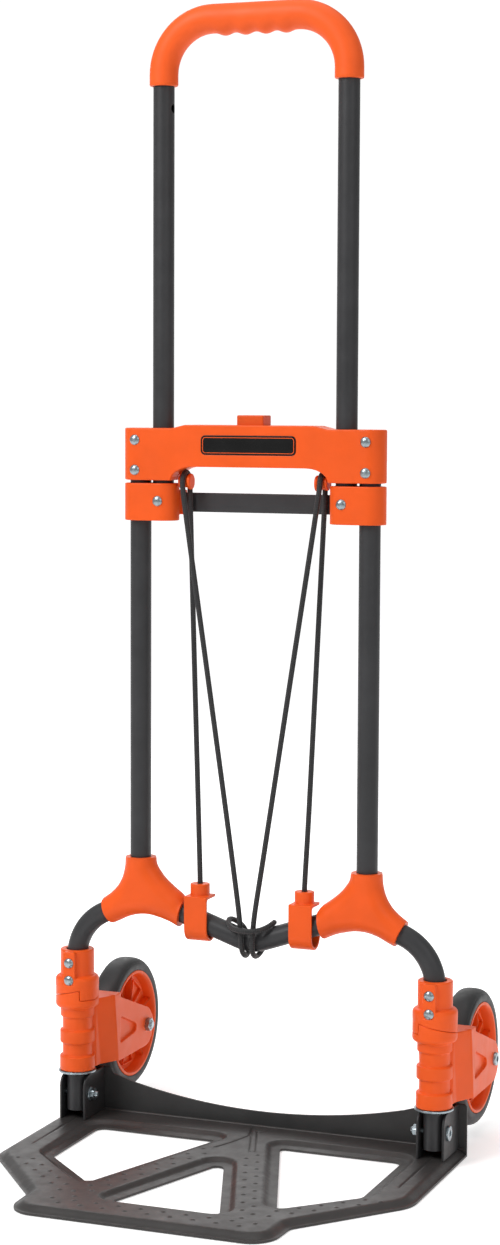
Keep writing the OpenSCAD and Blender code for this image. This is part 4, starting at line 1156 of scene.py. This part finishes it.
# bolts of the plate's hinge: head outside each bracket, nut inside
HINGE_Z, BRACKET_HALF, WASHER_T, THREAD_L = 29.5, 12.9, 1.4, 8
BOLT_R, BOLT_L, SET_IN = 3.0, 30, 1.2
low, high = box_mm("hinge_bolts")
wall_out, wall_in = LEG_X + BRACKET_HALF, LEG_X - BRACKET_HALF
head_r, head_h = (high.z - low.z) / 2, high.x - wall_out
washer = [(3.2, 0), (6.4, 0), (6.4, 1.1), (6.1, WASHER_T), (3.2, WASHER_T)]
bolt = Shape()
nuts = Shape()
for s in (-1, 1):
    out, inward = outward(s), outward(-s)
    bolt.add(*lathe(bolt_head(head_r, head_h, 2.2), 48), at(s * wall_out, 0, HINGE_Z, out))
    bolt.add(*round_bar(BOLT_R, BOLT_L, 24), at(s * wall_out, 0, HINGE_Z, out))
    bolt.add(*lathe(thread(BOLT_R, 0, THREAD_L + SET_IN), 24),
             at(s * (wall_in + SET_IN), 0, HINGE_Z, inward))
    nuts.add(*lathe(washer, 48, closed=True), at(s * wall_in, 0, HINGE_Z, inward))
    nuts.add(*hex_nut(9.7, 4.2, 3.1, 0.3), at(s * (wall_in - WASHER_T), 0, HINGE_Z, inward))
build("hinge_bolt_set", bolt, mat_zinc, "toe_plate", ("hinge_bolts",), sharp=40)
build("hinge_nut_set", nuts, mat_zinc, "toe_plate", ("hinge_nuts",), sharp=30)

# axles and thrust washers
ARM_HALF, AXLE_R, AXLE_L = 25, 4.0, 52
for side_name, s in SIDES:
    out, inward = outward(s), outward(-s)
    low, high = box_mm(f"axle_bolt_{side_name}")
    outer = high.x if s > 0 else -low.x
    inner = low.x if s > 0 else -high.x
    head_r = (high.z - low.z) / 2
    arm_out, arm_in = LEG_X + ARM_HALF, LEG_X - ARM_HALF
    shape = Shape()
    shape.add(*lathe(bolt_head(head_r, outer - arm_out, 2.6), 48), at(s * arm_out, AXLE_Y, AXLE_Z, out))
    shape.add(*round_bar(AXLE_R, AXLE_L, 32), at(s * arm_out, AXLE_Y, AXLE_Z, out))
    shape.add(*lathe(thread(AXLE_R, 0, arm_in - inner), 28), at(s * arm_in, AXLE_Y, AXLE_Z, inward))
    build(f"axle_{side_name}_bolt", shape, mat_zinc, f"yoke_{side_name}",
          (f"axle_bolt_{side_name}",), sharp=40)
    low, high = box_mm(f"axle_nut_{side_name}")
    nut_h = high.x - low.x
    shape = Shape()
    v, f = hex_nut((high.z - low.z) * 0.93, nut_h, 4.1, 0.15)
    shape.add(v, f, at(s * arm_in, AXLE_Y, AXLE_Z, inward))
    build(f"axle_{side_name}_nut", shape, mat_zinc, f"yoke_{side_name}",
          (f"axle_nut_{side_name}",), sharp=30)
    low, high = box_mm(f"thrust_washer_{side_name}")
    r_in, r_out, cut = TUBE_R + 0.4, (high.x - low.x) / 2, 0.4
    v, f = lathe([(r_in, low.z), (r_in, high.z), (r_out - cut, high.z), (r_out, high.z - cut),
                  (r_out, low.z + cut), (r_out - cut, low.z)], 64, closed=True)
    build(f"washer_ring_{side_name}", Shape().add(v, f, at(s * LEG_X, 0, 0)), mat_zinc,
          f"washer_{side_name}", (f"thrust_washer_{side_name}",), sharp=30)

# ---------------------------------------------------------------- wheels

SPOKES, HUB_HALF = 5, 13.4


def tyre_profile():
    """Cross-section (radius, across): up one side, over the tread and down the other."""
    side = [(50.9, -11.8), (52.4, -12.3), (54.2, -12.5), (56.2, -12.35), (57.6, -11.9), (58.1, -11.45),
            (58.2, -11.15), (58.9, -10.9), (59.9, -10.1), (60.9, -8.8), (61.7, -7.0), (62.2, -4.8),
            (62.43, -2.4)]
    return side + [(62.5, 0.0)] + [(r, -h) for r, h in side[::-1]]


def wheel_pieces(side_name, s):
    place = at(s * LEG_X, AXLE_Y, AXLE_Z, X_AXIS)
    body = f"wheel_{side_name}"
    outer = tyre_profile()
    inner = [(50.6, 9.0), (47.2, 8.4), (46.2, 6.0), (46.2, -6.0), (47.2, -8.4), (50.6, -9.0)]
    v, f = lathe(outer + [(50.9, 11.0)] + inner + [(50.9, -11.0)], 128, closed=True)
    build(f"tyre_ring_{side_name}", Shape().add(v, f, place), mat_tyre, body,
          (f"tyre_{side_name}",), sharp=40)
    low, high = box_mm(f"wheel_bush_{side_name}")
    bush_r = (high.z - low.z) / 2 + 0.1
    rim = Shape()
    half = [(bush_r, -HUB_HALF), (9.6, -HUB_HALF), (10.4, -HUB_HALF + 0.7), (10.9, -9), (11.4, -3.4),
            (12.6, -1.7), (43.6, -1.4), (45.3, -2.4), (45.9, -4.6), (46.5, -8.6), (47.3, -11.4),
            (48.1, -12.3), (49.2, -12.5), (50.2, -12.3), (50.6, -11.6), (50.3, -9.4), (48.2, -8.2),
            (47.3, -5.8)]
    v, f = lathe(half + [(r, -h) for r, h in half[::-1]], 128, closed=True)
    rim.add(v, f, place)
    # thin ribs from hub to rim on both faces, with raised outlines between them
    for face in (-1, 1):
        for k in range(SPOKES):
            a = 2 * math.pi * k / SPOKES + math.pi / 2
            turn = place @ Matrix.Rotation(a, 4, "Z")
            rib = rounded([[10.2, -0.9, 0.3], [46.6, -0.8, 0.3], [46.6, 0.8, 0.3], [10.2, 0.9, 0.3]], 3)
            v, f = prism(rib, 1.0, 8.6, 0, 0.4, steps=3)
            flip = Matrix.Diagonal((1, 1, face, 1))
            rim.add(v, f, turn @ flip)
            turn = place @ Matrix.Rotation(a + math.pi / SPOKES, 4, "Z")
            loop = rounded([[18, -2.6, 1.4], [40.5, -12.5, 2.6], [40.5, 12.5, 2.6], [18, 2.6, 1.4]], 6)
            v, f = prism(loop, 1.0, 4.6, 0, 0.3, holes=[grow(loop, -1.1)], steps=3, edge=0.25)
            rim.add(v, f, turn @ flip)
    build(f"rim_{side_name}", rim, mat_orange, body, (f"wheel_rim_{side_name}",),
          sharp=38)


for side_name, s in SIDES:
    wheel_pieces(side_name, s)
